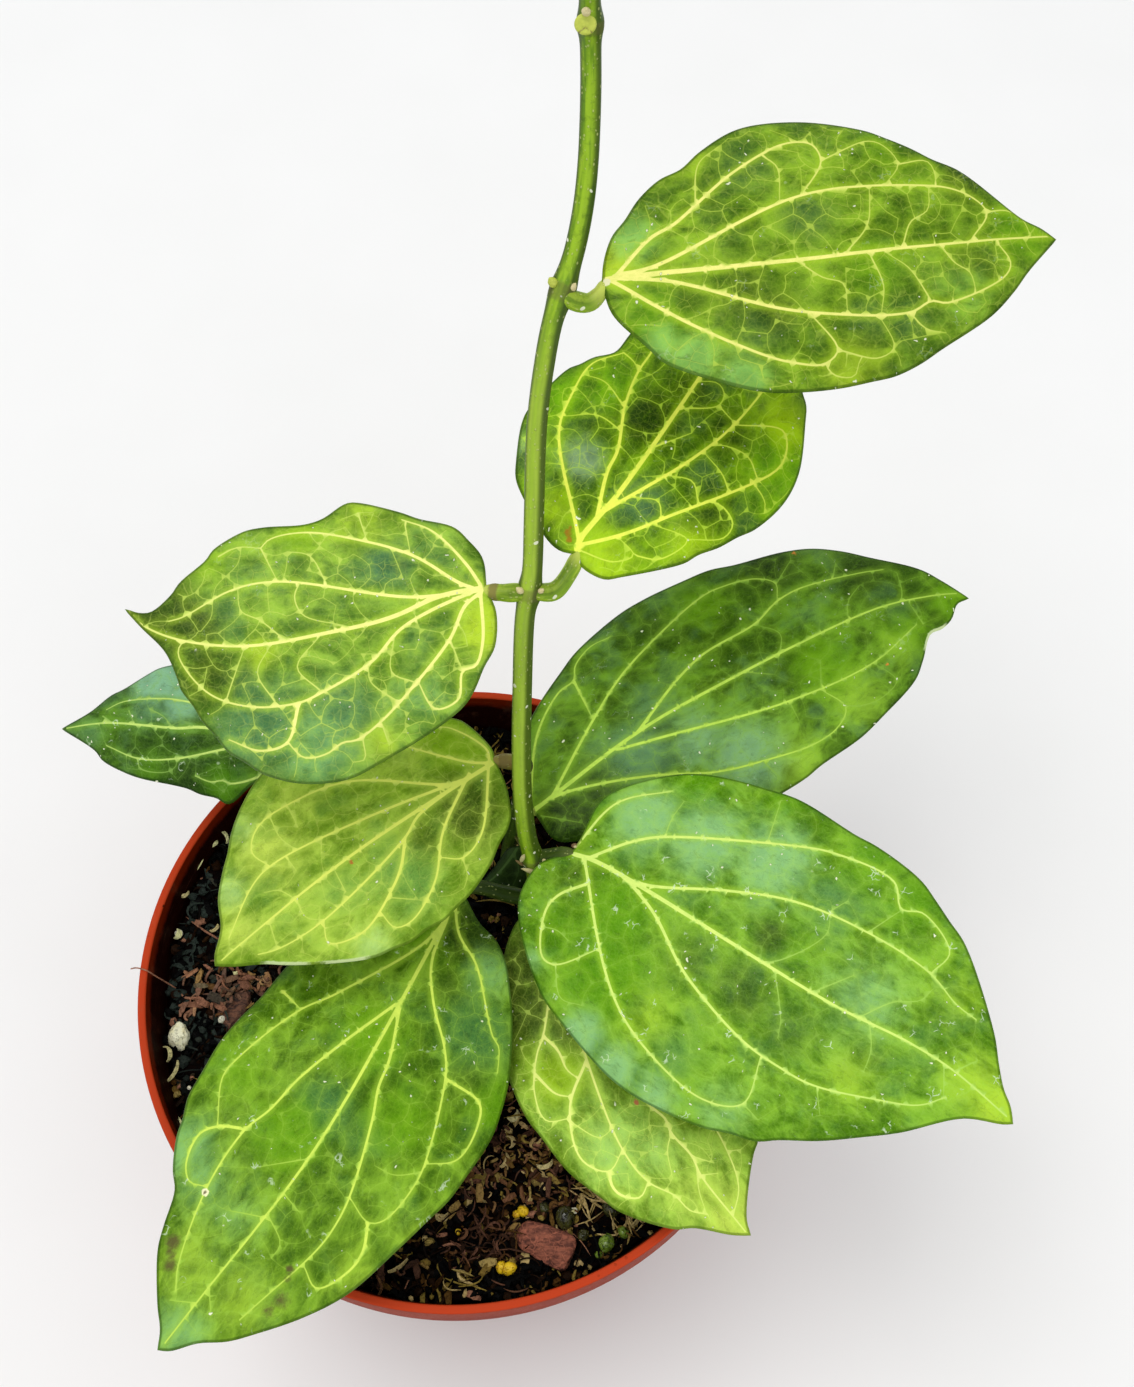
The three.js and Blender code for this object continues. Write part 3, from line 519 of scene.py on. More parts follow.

# How each leaf looks. "light" is the share of the studio light that reaches it, "gloss" its roughness and
# "quilt" how far its skin swells between the veins. "collar" is the ring where the stalk meets the blade, and
# the stalk's dark tint is painted shade, for a stalk in the shade of other leaves, while its brown tint is
# its own colour. The colours are as on a screen. "vein_size" scales the widths of the veins. "small_veins"
# and
# "net_strength" say how clearly the side veins and their links show, and "scuffs" how clearly the scratches
# do. A patch is (kind, along, across, reach, strength), placed on the blade: vivid and warm ones tint the
# skin, cool and mint ones are painted sheen, dark ones are partly darker skin and partly painted shade from
# leaves and folds above, pale and brown ones are small marks, and a torn one bleaches the margin.
LEAF_LOOKS = {
    "leaf_upper_right": {
        "light": 0.95, "gloss": 0.38, "quilt": 1.0, "collar": 0.3, "stalk_dark": 0, "stalk_brown": 0,
        "deep": (78, 116, 18), "fresh": (132, 173, 44), "warm": (176, 208, 44), "cool": (78, 114, 48),
        "vivid": (100, 150, 14), "mint": (138, 192, 84), "net": (180, 206, 78), "vein": (242, 238, 136),
        "spot": (120, 84, 44), "vein_size": 0.88, "small_veins": 0.56, "net_strength": 0.66, "scuffs": 0.15,
        "patches": [
            ("mint", 6, 7, 5, 0.8), ("warm", 2, 3, 4, 1), ("warm", 17, 22, 7, 0.35),
            ("cool", 27, 18, 7, 0.7), ("cool", 36, 7, 5, 0.9), ("vivid", 56, 20, 8, 0.8),
            ("dark", 66, 12, 6, 0.7), ("vivid", 75, 2, 7, 0.9), ("dark", 57, 18, 6, 0.55),
            ("vivid", 46, -3, 6, 0.7), ("dark", 23, -5, 7, 0.6), ("dark", 14, -5, 5, 0.5),
            ("cool", 25, -12, 6, 0.6), ("cool", 44, -12, 5, 0.8), ("cool", 51, -13, 5, 0.8),
            ("vivid", 8, -8, 7, 0.9), ("dark", 28, -9, 5, 0.7), ("mint", 13, -15, 5, 0.9),
            ("mint", 21, -20, 5, 0.9), ("mint", 8, -12, 4, 0.8), ("warm", 41, -19, 7, 0.5),
            ("mint", 62, -9, 6, 0.4), ("dark", 65, -3, 6, 0.5), ("pale", 0.6, 0, 0.8, 0.9),
        ],
    },
    "leaf_middle_right": {
        "light": 0.74, "gloss": 0.36, "quilt": 1.1, "collar": 0.2, "stalk_dark": 0, "stalk_brown": 0,
        "deep": (66, 102, 8), "fresh": (112, 154, 24), "warm": (154, 192, 26), "cool": (72, 108, 54),
        "vivid": (104, 156, 8), "mint": (122, 152, 88), "net": (172, 204, 62), "vein": (222, 228, 88),
        "spot": (150, 104, 34), "vein_size": 0.98, "small_veins": 0.56, "net_strength": 0.62, "scuffs": 0.1,
        "patches": [
            ("vivid", 26, 19, 7, 0.8), ("dark", 30, 2, 7, 0.9), ("mint", 16, 9, 5, 0.8),
            ("cool", 15, -5, 6, 0.9), ("vivid", 32, 11, 6, 0.8), ("warm", 45, -20, 7, 0.8),
            ("vivid", 37, -24, 8, 0.9), ("dark", 36, -12, 6, 0.7), ("dark", 21, -17, 7, 0.6),
            ("warm", 1, -4, 7, 0.8), ("warm", 13, -17, 7, 0.6), ("warm", 5, 8, 5, 0.7),
            ("mint", 12, 20, 6, 0.5), ("cool", 26, -12, 5, 0.6), ("dark", 23, 11, 5, 0.5),
            ("dark", 39, -2, 6, 0.7), ("vivid", 30, -25, 7, 0.6), ("pale", 16.4, 6.6, 0.6, 0.4),
            ("brown", 2.4, 3.7, 0.8, 0.75), ("brown", 1.3, 2.7, 0.7, 0.8), ("brown", 3.4, 3.9, 0.5, 0.7),
        ],
    },
    "leaf_middle_left": {
        "light": 0.88, "gloss": 0.35, "quilt": 1.0, "collar": 1, "stalk_dark": 0, "stalk_brown": 0,
        "deep": (92, 132, 40), "fresh": (144, 184, 62), "warm": (180, 212, 50), "cool": (82, 128, 76),
        "vivid": (130, 174, 26), "mint": (116, 166, 94), "net": (190, 214, 94), "vein": (245, 242, 144),
        "spot": (120, 100, 70), "vein_size": 0.88, "small_veins": 0.52, "net_strength": 0.64, "scuffs": 0.1,
        "patches": [
            ("warm", 22, -15, 8, 0.45), ("vivid", 34, -12, 5, 0.8), ("cool", 18, -5, 5, 0.9),
            # The dark patches near the tip are painted shade along a fold.
            ("dark", 16, -5, 3, 0.5), ("cool", 49, 2, 5, 0.5), ("dark", 61, 2, 9, 1), ("dark", 55, 5, 7, 1),
            ("dark", 52, 13, 8, 0.8), ("warm", 42, 10, 4, 0.6), ("cool", 45, 16, 5, 0.7),
            ("cool", 42, 23, 9, 0.9), ("mint", 32, 29, 9, 0.7), ("mint", 48, 24, 6, 0.5),
            ("cool", 27, 22, 9, 0.8), ("warm", 21, 27, 5, 0.6), ("warm", 0, 7, 6, 0.9),
            ("mint", 13, 20, 8, 0.5), ("vivid", 50, -7, 6, 0.5), ("mint", 8, -7, 5, 0.4),
            ("brown", 12.6, 26.6, 0.5, 0.8),
        ],
    },
    "leaf_far_left": {
        "light": 0.74, "gloss": 0.28, "quilt": 0.9, "collar": 0, "stalk_dark": 0.6, "stalk_brown": 0,
        "deep": (44, 74, 6), "fresh": (82, 122, 32), "warm": (114, 158, 54), "cool": (84, 124, 70),
        "vivid": (72, 118, 4), "mint": (118, 164, 108), "net": (122, 160, 74), "vein": (190, 214, 112),
        "spot": (110, 80, 46), "vein_size": 0.85, "small_veins": 0.45, "net_strength": 0.4, "scuffs": 0.5,
        "patches": [
            ("mint", 35, -12, 7, 1), ("mint", 28, -8, 6, 0.9), ("cool", 36, -4, 5, 0.6),
            ("dark", 37, 5, 5, 0.5), ("dark", 24, 9, 6, 0.6), ("vivid", 17, 11, 6, 1),
            ("vivid", 34, 8, 5, 0.6), ("warm", 26, -2, 4, 0.5), ("cool", 49, 1, 5, 0.5),
        ],
    },
    "leaf_lower_left": {
        "light": 0.84, "gloss": 0.4, "quilt": 0.8, "collar": 0.9, "stalk_dark": 0, "stalk_brown": 0.8,
        "deep": (106, 144, 32), "fresh": (156, 190, 66), "warm": (184, 206, 80), "cool": (106, 152, 64),
        "vivid": (124, 166, 4), "mint": (176, 214, 122), "net": (188, 210, 92), "vein": (216, 226, 100),
        "spot": (176, 100, 52), "vein_size": 0.85, "small_veins": 0.42, "net_strength": 0.35, "scuffs": 0,
        "patches": [
            ("vivid", 4, -9, 9, 1), ("vivid", 0, -4, 6, 1), ("warm", 37, -17, 9, 0.35),
            ("warm", 48, -12, 10, 0.55), ("mint", 59, -10, 5, 0.5), ("mint", 50, -19, 4, 0.5),
            ("dark", 11, 6, 8, 0.95), ("dark", 11, 0, 5, 0.6), ("dark", 22, 5, 6, 0.6),
            ("cool", 30, 10, 8, 0.8), ("cool", 41, 3, 7, 0.4), ("dark", 12, 14, 6, 0.4),
            ("mint", 44, 16, 5, 0.5), ("warm", 63, -3, 7, 0.5), ("warm", 15, -13, 8, 0.35),
            ("vivid", 21, -7, 6, 0.4), ("brown", 37.1, 0.1, 0.5, 0.9), ("torn", 58, 7, 7, 0.8),
            ("torn", 49, 14, 7, 0.8),
        ],
    },
    "leaf_front_left": {
        "light": 0.8, "gloss": 0.36, "quilt": 0.9, "collar": 0, "stalk_dark": 1, "stalk_brown": 0,
        "deep": (72, 110, 16), "fresh": (120, 161, 44), "warm": (152, 188, 54), "cool": (74, 120, 54),
        "vivid": (98, 148, 4), "mint": (126, 176, 90), "net": (150, 190, 68), "vein": (204, 226, 92),
        "spot": (84, 74, 48), "vein_size": 0.82, "small_veins": 0.5, "net_strength": 0.3, "scuffs": 0.5,
        "patches": [
            # The dark patch near the base is painted shadow of the leaf above it.
            ("vivid", 15, 0, 8, 0.6), ("dark", 9, 8, 8, 0.95), ("dark", 22, 9, 6, 0.5),
            ("mint", 14, 16, 6, 0.7), ("cool", 27, 20, 9, 0.95), ("dark", 36, 24, 6, 0.5),
            ("vivid", 51, 17, 9, 0.7), ("vivid", 40, 3, 8, 0.9), ("vivid", 59, -16, 8, 0.6),
            ("cool", 57, 2, 7, 0.9), ("vivid", 65, -1, 8, 1), ("cool", 58, 12, 6, 0.6),
            ("mint", 77, -17, 7, 0.8), ("mint", 80, -10, 7, 0.6), ("warm", 94, -4, 8, 0.5),
            ("warm", 94, 9, 8, 0.55), ("vivid", 37, 30, 6, 0.9), ("warm", 67, 31, 7, 0.5),
            ("warm", 80, 24, 7, 0.5), ("mint", 105, 2, 6, 0.7), ("cool", 42, 7, 5, 0.5),
            ("mint", 82, 0, 7, 0.4),
            ("brown", 92.2, -8.3, 1.9, 0.66), ("brown", 95.9, -6.4, 1.7, 0.64), ("brown", 94, -7.6, 1.2, 0.6),
            ("pale", 81.7, -8.3, 0.85, 0.95), ("brown", 81.7, -8.3, 0.36, 1), ("brown", 85.3, 13, 0.9, 0.75),
            ("brown", 87, 13.6, 1.1, 0.55), ("brown", 90.8, 14.5, 2.4, 0.5), ("brown", 93.6, 13.6, 1.8, 0.48),
        ],
    },
    "leaf_front": {
        "light": 0.8, "gloss": 0.42, "quilt": 0.8, "collar": 0, "stalk_dark": 0.7, "stalk_brown": 0,
        "deep": (100, 136, 30), "fresh": (150, 190, 68), "warm": (184, 212, 80), "cool": (120, 166, 68),
        "vivid": (142, 180, 30), "mint": (158, 202, 94), "net": (196, 222, 100), "vein": (228, 236, 132),
        "spot": (186, 96, 76), "vein_size": 0.85, "small_veins": 0.55, "net_strength": 0.5, "scuffs": 0,
        "patches": [
            # The dark patches near the base are painted shadow of the leaves beside and above it.
            ("dark", 9, -11, 10, 1), ("dark", 16, -15, 9, 1), ("dark", 24, -8, 8, 0.7),
            ("vivid", 33, -16, 7, 0.9), ("vivid", 27, -17, 6, 0.5), ("cool", 48, -4, 6, 0.4),
            ("mint", 51, -15, 8, 0.7), ("mint", 56, -7, 7, 0.5), ("warm", 68, -4, 9, 0.5),
            ("warm", 76, -1, 8, 0.8), ("dark", 39, -9, 6, 0.3), ("dark", 52, -3, 5, 0.3),
            ("brown", 46.1, -5.1, 0.6, 0.9),
        ],
    },
    "leaf_front_right": {
        "light": 0.8, "gloss": 0.33, "quilt": 1.0, "collar": 0.4, "stalk_dark": 0.95, "stalk_brown": 0,
        "deep": (78, 124, 16), "fresh": (122, 170, 48), "warm": (160, 198, 52), "cool": (86, 134, 66),
        "vivid": (90, 144, 2), "mint": (132, 182, 104), "net": (158, 200, 88), "vein": (208, 230, 118),
        "spot": (112, 84, 46), "vein_size": 0.86, "small_veins": 0.42, "net_strength": 0.14, "scuffs": 0.6,
        "patches": [
            ("vivid", -2, 12, 6, 0.6), ("mint", 10, 14, 8, 0.9), ("mint", 23, 16, 9, 0.9),
            ("mint", 37, 20, 9, 0.9), ("vivid", 15, 26, 6, 0.9), ("vivid", 32, 33, 6, 0.7),
            ("vivid", 54, 29, 8, 0.7), ("vivid", 65, 26, 7, 0.7), ("warm", 82, 15, 8, 0.35),
            ("mint", 67, 5, 9, 0.55), ("vivid", 51, 7, 6, 0.5), ("dark", 45, 6, 4, 0.8),
            ("cool", 52, 18, 7, 0.7), ("vivid", 7, -15, 8, 0.6), ("vivid", 20, -17, 10, 1),
            ("vivid", 16, -6, 8, 1), ("dark", 3, -4, 6, 0.6), ("dark", 34, -6, 8, 0.5),
            ("dark", 46, -6, 8, 0.6), ("dark", 57, -8, 7, 0.45), ("warm", 32, -20, 8, 0.45),
            ("mint", 22, -30, 5, 1), ("mint", 31, -32, 5, 1), ("mint", 41, -33, 6, 0.8),
            ("cool", 40, -24, 7, 0.6), ("cool", 27, 4, 4, 0.5), ("warm", 72, -9, 7, 0.45),
            ("warm", 93, 3, 8, 0.6), ("warm", 98, 1, 6, 0.9), ("mint", 54, -27, 7, 0.5),
            ("dark", 73, -4, 5, 0.4), ("mint", 5, -23, 4, 0.5),
        ],
    },
    "leaf_back_right": {
        "light": 0.7, "gloss": 0.34, "quilt": 0.9, "collar": 0, "stalk_dark": 0.3, "stalk_brown": 0,
        "deep": (58, 90, 12), "fresh": (96, 138, 36), "warm": (138, 178, 52), "cool": (88, 128, 74),
        "vivid": (92, 138, 10), "mint": (112, 154, 92), "net": (118, 158, 56), "vein": (180, 212, 84),
        "spot": (200, 124, 54), "vein_size": 0.82, "small_veins": 0.45, "net_strength": 0.3, "scuffs": 0.1,
        "patches": [
            # The dark patches near the base are painted shadow of the leaf in front that lies over it.
            ("dark", 4, -5, 8, 0.95), ("dark", 14, -2, 8, 0.6), ("warm", 14, 16, 6, 0.2),
            ("dark", 55, 29, 8, 0.3), ("vivid", 53, 25, 7, 0.8), ("dark", 70, 26, 8, 0.8),
            ("dark", 88, 16, 8, 0.7), ("vivid", 103, 1, 6, 0.9), ("vivid", 70, 0, 9, 0.9),
            ("vivid", 89, -2, 7, 0.8), ("warm", 87, -4, 6, 0.5), ("warm", 55, -17, 9, 0.6),
            ("warm", 73, -10, 8, 0.5), ("mint", 45, -10, 9, 0.9), ("mint", 38, -2, 7, 0.7),
            ("cool", 25, 0, 9, 0.9), ("cool", 32, 8, 7, 0.6), ("cool", 19, 6, 6, 0.5),
            ("dark", 42, 23, 7, 0.3), ("brown", 82.2, -5.6, 0.45, 0.9), ("brown", 77.2, 26.3, 0.45, 0.9),
            ("torn", 95, -4, 5, 1),
        ],
    },
    "leaf_small": {
        "light": 0.9, "gloss": 0.4, "quilt": 0.5, "collar": 0.5, "stalk_dark": 0.8, "stalk_brown": 0.3,
        # The colours of this small leaf are dark as painted shade, for the deep shade that it lies in under
        # the leaves.
        "deep": (34, 50, 22), "fresh": (52, 74, 34), "warm": (66, 92, 42), "cool": (44, 66, 44),
        "vivid": (50, 84, 20), "mint": (70, 96, 66), "net": (66, 92, 44), "vein": (84, 112, 58),
        "spot": (110, 80, 50), "vein_size": 0.7, "small_veins": 0.5, "net_strength": 0.3, "scuffs": 0,
        "patches": [],
    },
}


# Curves and fields
def smooth_line(points, spacing):
    """Points at an equal spacing along the smooth curve that runs through the given ones."""
    knots = np.array(points, float)
    knots = np.vstack([2 * knots[0] - knots[1], knots, 2 * knots[-1] - knots[-2]])
    gaps = np.maximum(np.linalg.norm(np.diff(knots, axis=0), axis=1), 1e-6) ** 0.5
    t = np.linspace(0, 1, 13)[:-1, None]
    fine = []
    for i in range(1, len(knots) - 2):
        before, here, there, after = knots[i - 1:i + 3]
        d0, d1, d2 = gaps[i - 1:i + 2]
        leave = ((here - before) / d0 - (there - before) / (d0 + d1) + (there - here) / d1) * d1
        arrive = ((there - here) / d1 - (after - here) / (d1 + d2) + (after - there) / d2) * d1
        fine.append(
            (2 * t ** 3 - 3 * t ** 2 + 1) * here
            + (t ** 3 - 2 * t ** 2 + t) * leave
            + (3 * t ** 2 - 2 * t ** 3) * there
            + (t ** 3 - t ** 2) * arrive
        )
    fine.append(knots[-2:-1])
    fine = np.vstack(fine)
    run = np.concatenate([[0], np.cumsum(np.linalg.norm(np.diff(fine, axis=0), axis=1))])
    stops = np.linspace(0, run[-1], max(2, round(run[-1] / spacing)) + 1)
    return np.column_stack([np.interp(stops, run, fine[:, k]) for k in range(fine.shape[1])])


def line_distance(points, line):
    """Each point's distance to a line, and the share of the line's length where it is nearest."""
    start, step = line[:-1], np.diff(line, axis=0)
    best = np.full(len(points), 1e9)
    share = np.zeros(len(points))
    for i in range(len(start)):
        offset = points - start[i]
        t = np.clip(offset @ step[i] / max(step[i] @ step[i], 1e-12), 0, 1)
        away = np.hypot(*(offset - t[:, None] * step[i]).T)
        nearer = away < best
        best[nearer] = away[nearer]
        share[nearer] = (i + t[nearer]) / len(start)
    return best, share


def inside(points, loop):
    """Which of the points lie inside a closed loop."""
    x, y = points[:, 0], points[:, 1]
    found = np.zeros(len(points), bool)
    for (ax, ay), (bx, by) in zip(loop, np.roll(loop, -1, axis=0)):
        if ay == by:
            continue
        crosses = (ay > y) != (by > y)
        found ^= crosses & (x < ax + (y - ay) * (bx - ax) / (by - ay))
    return found


def ramp(value, low, high):
    """0 at low and 1 at high, with a soft start and end."""
    t = np.clip((value - low) / (high - low), 0, 1)
    return t * t * (3 - 2 * t)


def rough(points, size, seed):
    """Smooth noise from about -1 to 1 whose bumps are about that size."""
    shift = Vector((seed * 17.3, seed * 5.1, seed * 9.7))
    return np.array([noise.noise(Vector(p) / size + shift) for p in points])


def turned(points, turn):
    """Points turned about X, then Y, then Z."""
    for axis, angle in enumerate(turn):
        c, s = math.cos(angle), math.sin(angle)
        a, b = (axis + 1) % 3, (axis + 2) % 3
        points = points.copy()
        pa, pb = points[:, a].copy(), points[:, b].copy()
        points[:, a], points[:, b] = c * pa - s * pb, s * pa + c * pb
    return points


class Piece:
    """Collects corners, faces and named values, and makes one mesh object of them."""

    def __init__(self):
        self.corners = []
        self.faces = []
        self.kinds = []
        self.values = {}
        self.count = 0

    def add(self, corners, faces, kind=0, **values):
        """Adds corners, their faces in the material of that number, and a value a corner under each name."""
        corners = np.asarray(corners, float)
        self.corners.append(corners)
        self.faces.extend([tuple(i + self.count for i in face) for face in faces])
        self.kinds.extend([kind] * len(faces))
        for name, value in values.items():
            self.values.setdefault(name, []).append((self.count, np.asarray(value, float)))
        self.count += len(corners)

    def make(self, name, materials, smooth=True):
        """One mesh object of all that was added, with the values as its attributes."""
        mesh = bpy.data.meshes.new(name)
        mesh.from_pydata(np.vstack(self.corners) * MM, [], self.faces)
        for material in materials:
            mesh.materials.append(material)
        mesh.polygons.foreach_set("material_index", self.kinds)
        mesh.polygons.foreach_set("use_smooth", [smooth] * len(self.faces))
        for value_name, parts in self.values.items():
            wide = parts[0][1].ndim == 2
            whole = np.zeros((self.count, 3) if wide else self.count, np.float32)
            for start, value in parts:
                whole[start:start + len(value)] = value
            kind, field = ("FLOAT_VECTOR", "vector") if wide else ("FLOAT", "value")
            attribute = mesh.attributes.new(value_name, kind, "POINT")
            attribute.data.foreach_set(field, whole.ravel())
        mesh.update()
        piece = bpy.data.objects.new(name, mesh)
        bpy.context.scene.collection.objects.link(piece)
        return piece


def place_piece(piece, slot, *nodes):
    """Rides a piece on the plant, in place of the CAD nodes that it stands for."""
    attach(piece, "root")
    if nodes:
        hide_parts(*nodes)
    return piece


# Material nodes
def shade(red, green, blue, light=1.0):
    """The colour that looks like that on a screen, 0 to 255, where that share of the light falls on it."""
    lit = [max(c, 0) / 255 for c in (red, green, blue)]
    linear = [c / 12.92 if c <= 0.04045 else ((c + 0.055) / 1.055) ** 2.4 for c in lit]
    return tuple(max(c - SHINE, 0.001) / (LIGHT_GAIN * light) for c in linear) + (1.0,)


def toned(color, factor, light=1.0):
    """The shade of a colour whose three values are all changed by that factor."""
    return shade(*[factor * c for c in color], light)


# The numbers of a mix node's sockets for colours
MIX_FIRST = 6
MIX_SECOND = 7
MIX_RESULT = 2


class Finish:
    """One material, with short calls for the nodes that its pattern needs."""

    def __init__(self, name, **sockets):
        self.material = bpy.data.materials.new(name)
        self.material.use_nodes = True
        self.tree = self.material.node_tree
        self.shader = self.tree.nodes["Principled BSDF"]
        for socket, value in sockets.items():
            self.shader.inputs[socket.replace("_", " ")].default_value = value

    def give(self, socket, value):
        """Links a socket to another node's, or sets its constant."""
        if isinstance(value, bpy.types.NodeSocket):
            self.tree.links.new(value, socket)
        else:
            socket.default_value = value

    def node(self, kind, **settings):
        """A new node of that kind, with its settings."""
        made = self.tree.nodes.new(kind)
        for name, value in settings.items():
            setattr(made, name, value)
        return made

    def value(self, name, wide=False):
        """A named value of the mesh."""
        return self.node("ShaderNodeAttribute", attribute_name=name).outputs["Vector" if wide else "Fac"]

    def place(self, stretch=(1, 1, 1)):
        """The point's place in the plant's frame, in millimetres, stretched along each axis."""
        coordinates = self.node("ShaderNodeTexCoord").outputs["Object"]
        return self.scaled(coordinates, [s / MM for s in stretch])

    def scaled(self, vector, factors):
        """A vector or a colour, each part of it times its factor."""
        product = self.node("ShaderNodeVectorMath", operation="MULTIPLY")
        self.give(product.inputs[0], vector)
        product.inputs[1].default_value = factors
        return product.outputs[0]

    def noise(self, vector, size, detail=3, rough=0.55, warp=0):
        """Smooth noise from 0 to 1, whose bumps are about that size in millimetres."""
        made = self.node("ShaderNodeTexNoise")
        self.give(made.inputs["Vector"], vector)
        made.inputs["Scale"].default_value = 1 / size
        made.inputs["Detail"].default_value = detail
        made.inputs["Roughness"].default_value = rough
        made.inputs["Distortion"].default_value = warp
        return made.outputs["Fac"]

    def cells(self, vector, size, feature="F1", output="Distance"):
        """The distance to the middles, or to the edges, of random cells of that size."""
        made = self.node("ShaderNodeTexVoronoi", feature=feature)
        self.give(made.inputs["Vector"], vector)
        made.inputs["Scale"].default_value = 1 / size
        return made.outputs[output]

    def shaken(self, vector, size, amount):
        """The place moved about a little, so that a pattern on it has no straight lines."""
        made = self.node("ShaderNodeTexNoise")
        self.give(made.inputs["Vector"], vector)
        made.inputs["Scale"].default_value = 1 / size
        made.inputs["Detail"].default_value = 2
        centred = self.node("ShaderNodeVectorMath", operation="SUBTRACT")
        self.give(centred.inputs[0], made.outputs["Color"])
        centred.inputs[1].default_value = (0.5, 0.5, 0.5)
        moved = self.node("ShaderNodeVectorMath", operation="MULTIPLY_ADD")
        self.give(moved.inputs[0], centred.outputs[0])
        moved.inputs[1].default_value = (amount, amount, amount)
        self.give(moved.inputs[2], vector)
        return moved.outputs[0]

    def math(self, operation, first, second=0.0, third=0.0):
        made = self.node("ShaderNodeMath", operation=operation)
        self.give(made.inputs[0], first)
        self.give(made.inputs[1], second)
        self.give(made.inputs[2], third)
        return made.outputs[0]

    def times(self, first, second):
        return self.math("MULTIPLY", first, second)

    def plus(self, first, second):
        return self.math("ADD", first, second)

    def ramp(self, value, low, high, start=0.0, end=1.0):
        """From start where the value is low to end where it is high, with a soft start and end."""
        made = self.node("ShaderNodeMapRange", interpolation_type="SMOOTHSTEP")
        turned_round = low > high
        self.give(made.inputs["Value"], value)
        made.inputs["From Min"].default_value = high if turned_round else low
        made.inputs["From Max"].default_value = low if turned_round else high
        made.inputs["To Min"].default_value = end if turned_round else start
        made.inputs["To Max"].default_value = start if turned_round else end
        return made.outputs["Result"]

    def mix(self, share, first, second):
        """From the first colour, where the share is 0, to the second, where it is 1."""
        made = self.node("ShaderNodeMix", data_type="RGBA")
        self.give(made.inputs["Factor"], share)
        self.give(made.inputs[MIX_FIRST], first)
        self.give(made.inputs[MIX_SECOND], second)
        return made.outputs[MIX_RESULT]

    def cover(self, color, other, share, strength):
        """The colour with another one laid over it, by a pattern's share and a strength."""
        return self.mix(self.times(share, strength), color, other)

    def sideways(self, vector):
        """How far a vector reaches to either side along X."""
        reach = self.node("ShaderNodeVectorMath", operation="DOT_PRODUCT")
        self.give(reach.inputs[0], vector)
        reach.inputs[1].default_value = (1, 0, 0)
        return self.math("ABSOLUTE", reach.outputs["Value"])

    def contrast(self, color, middle, power):
        """Draws a colour away from a middle one: its dark parts darker, its light parts lighter."""
        made = self.node("ShaderNodeGamma")
        self.give(made.inputs["Color"], self.scaled(color, [1 / c for c in middle[:3]]))
        made.inputs["Gamma"].default_value = power
        return self.scaled(made.outputs["Color"], middle[:3])

    def finish(self, color, roughness=None, height=None, depth=0.1):
        """Sets the colour, the roughness and the small relief, whose depth is in millimetres."""
        self.give(self.shader.inputs["Base Color"], color)
        if roughness is not None:
            self.give(self.shader.inputs["Roughness"], roughness)
        if height is not None:
            bump = self.node("ShaderNodeBump")
            bump.inputs["Distance"].default_value = depth * MM
            self.give(bump.inputs["Height"], height)
            self.tree.links.new(bump.outputs["Normal"], self.shader.inputs["Normal"])
        return self.material


# Leaf materials. A blade's contrast is raised around a middle colour, that share of its fresh one.
BLADE_MIDDLE = 0.96
BLADE_CONTRAST = 1.2
# What each kind of patch tints the skin with: a colour of the leaf, a factor on it, and how strongly
# Cool and mint patches are painted sheen; dark ones are partly darker skin and partly painted shade.
PATCH_TINTS = {
    "cool": ("cool", 1.0, 0.92),
    "vivid": ("vivid", 1.0, 0.88),
    "warm": ("warm", 1.0, 0.88),
    "dark": ("deep", 0.57, 0.9),
    "mint": ("mint", 1.0, 0.88),
}
DUST = (232, 238, 204)
SCUFF = (206, 224, 190)
PALE_MARK = (228, 226, 180)
TORN_MARK = (206, 220, 166)
UNDER_TONE = (150, 170, 105)
UNDER_VEIN = (196, 208, 140)


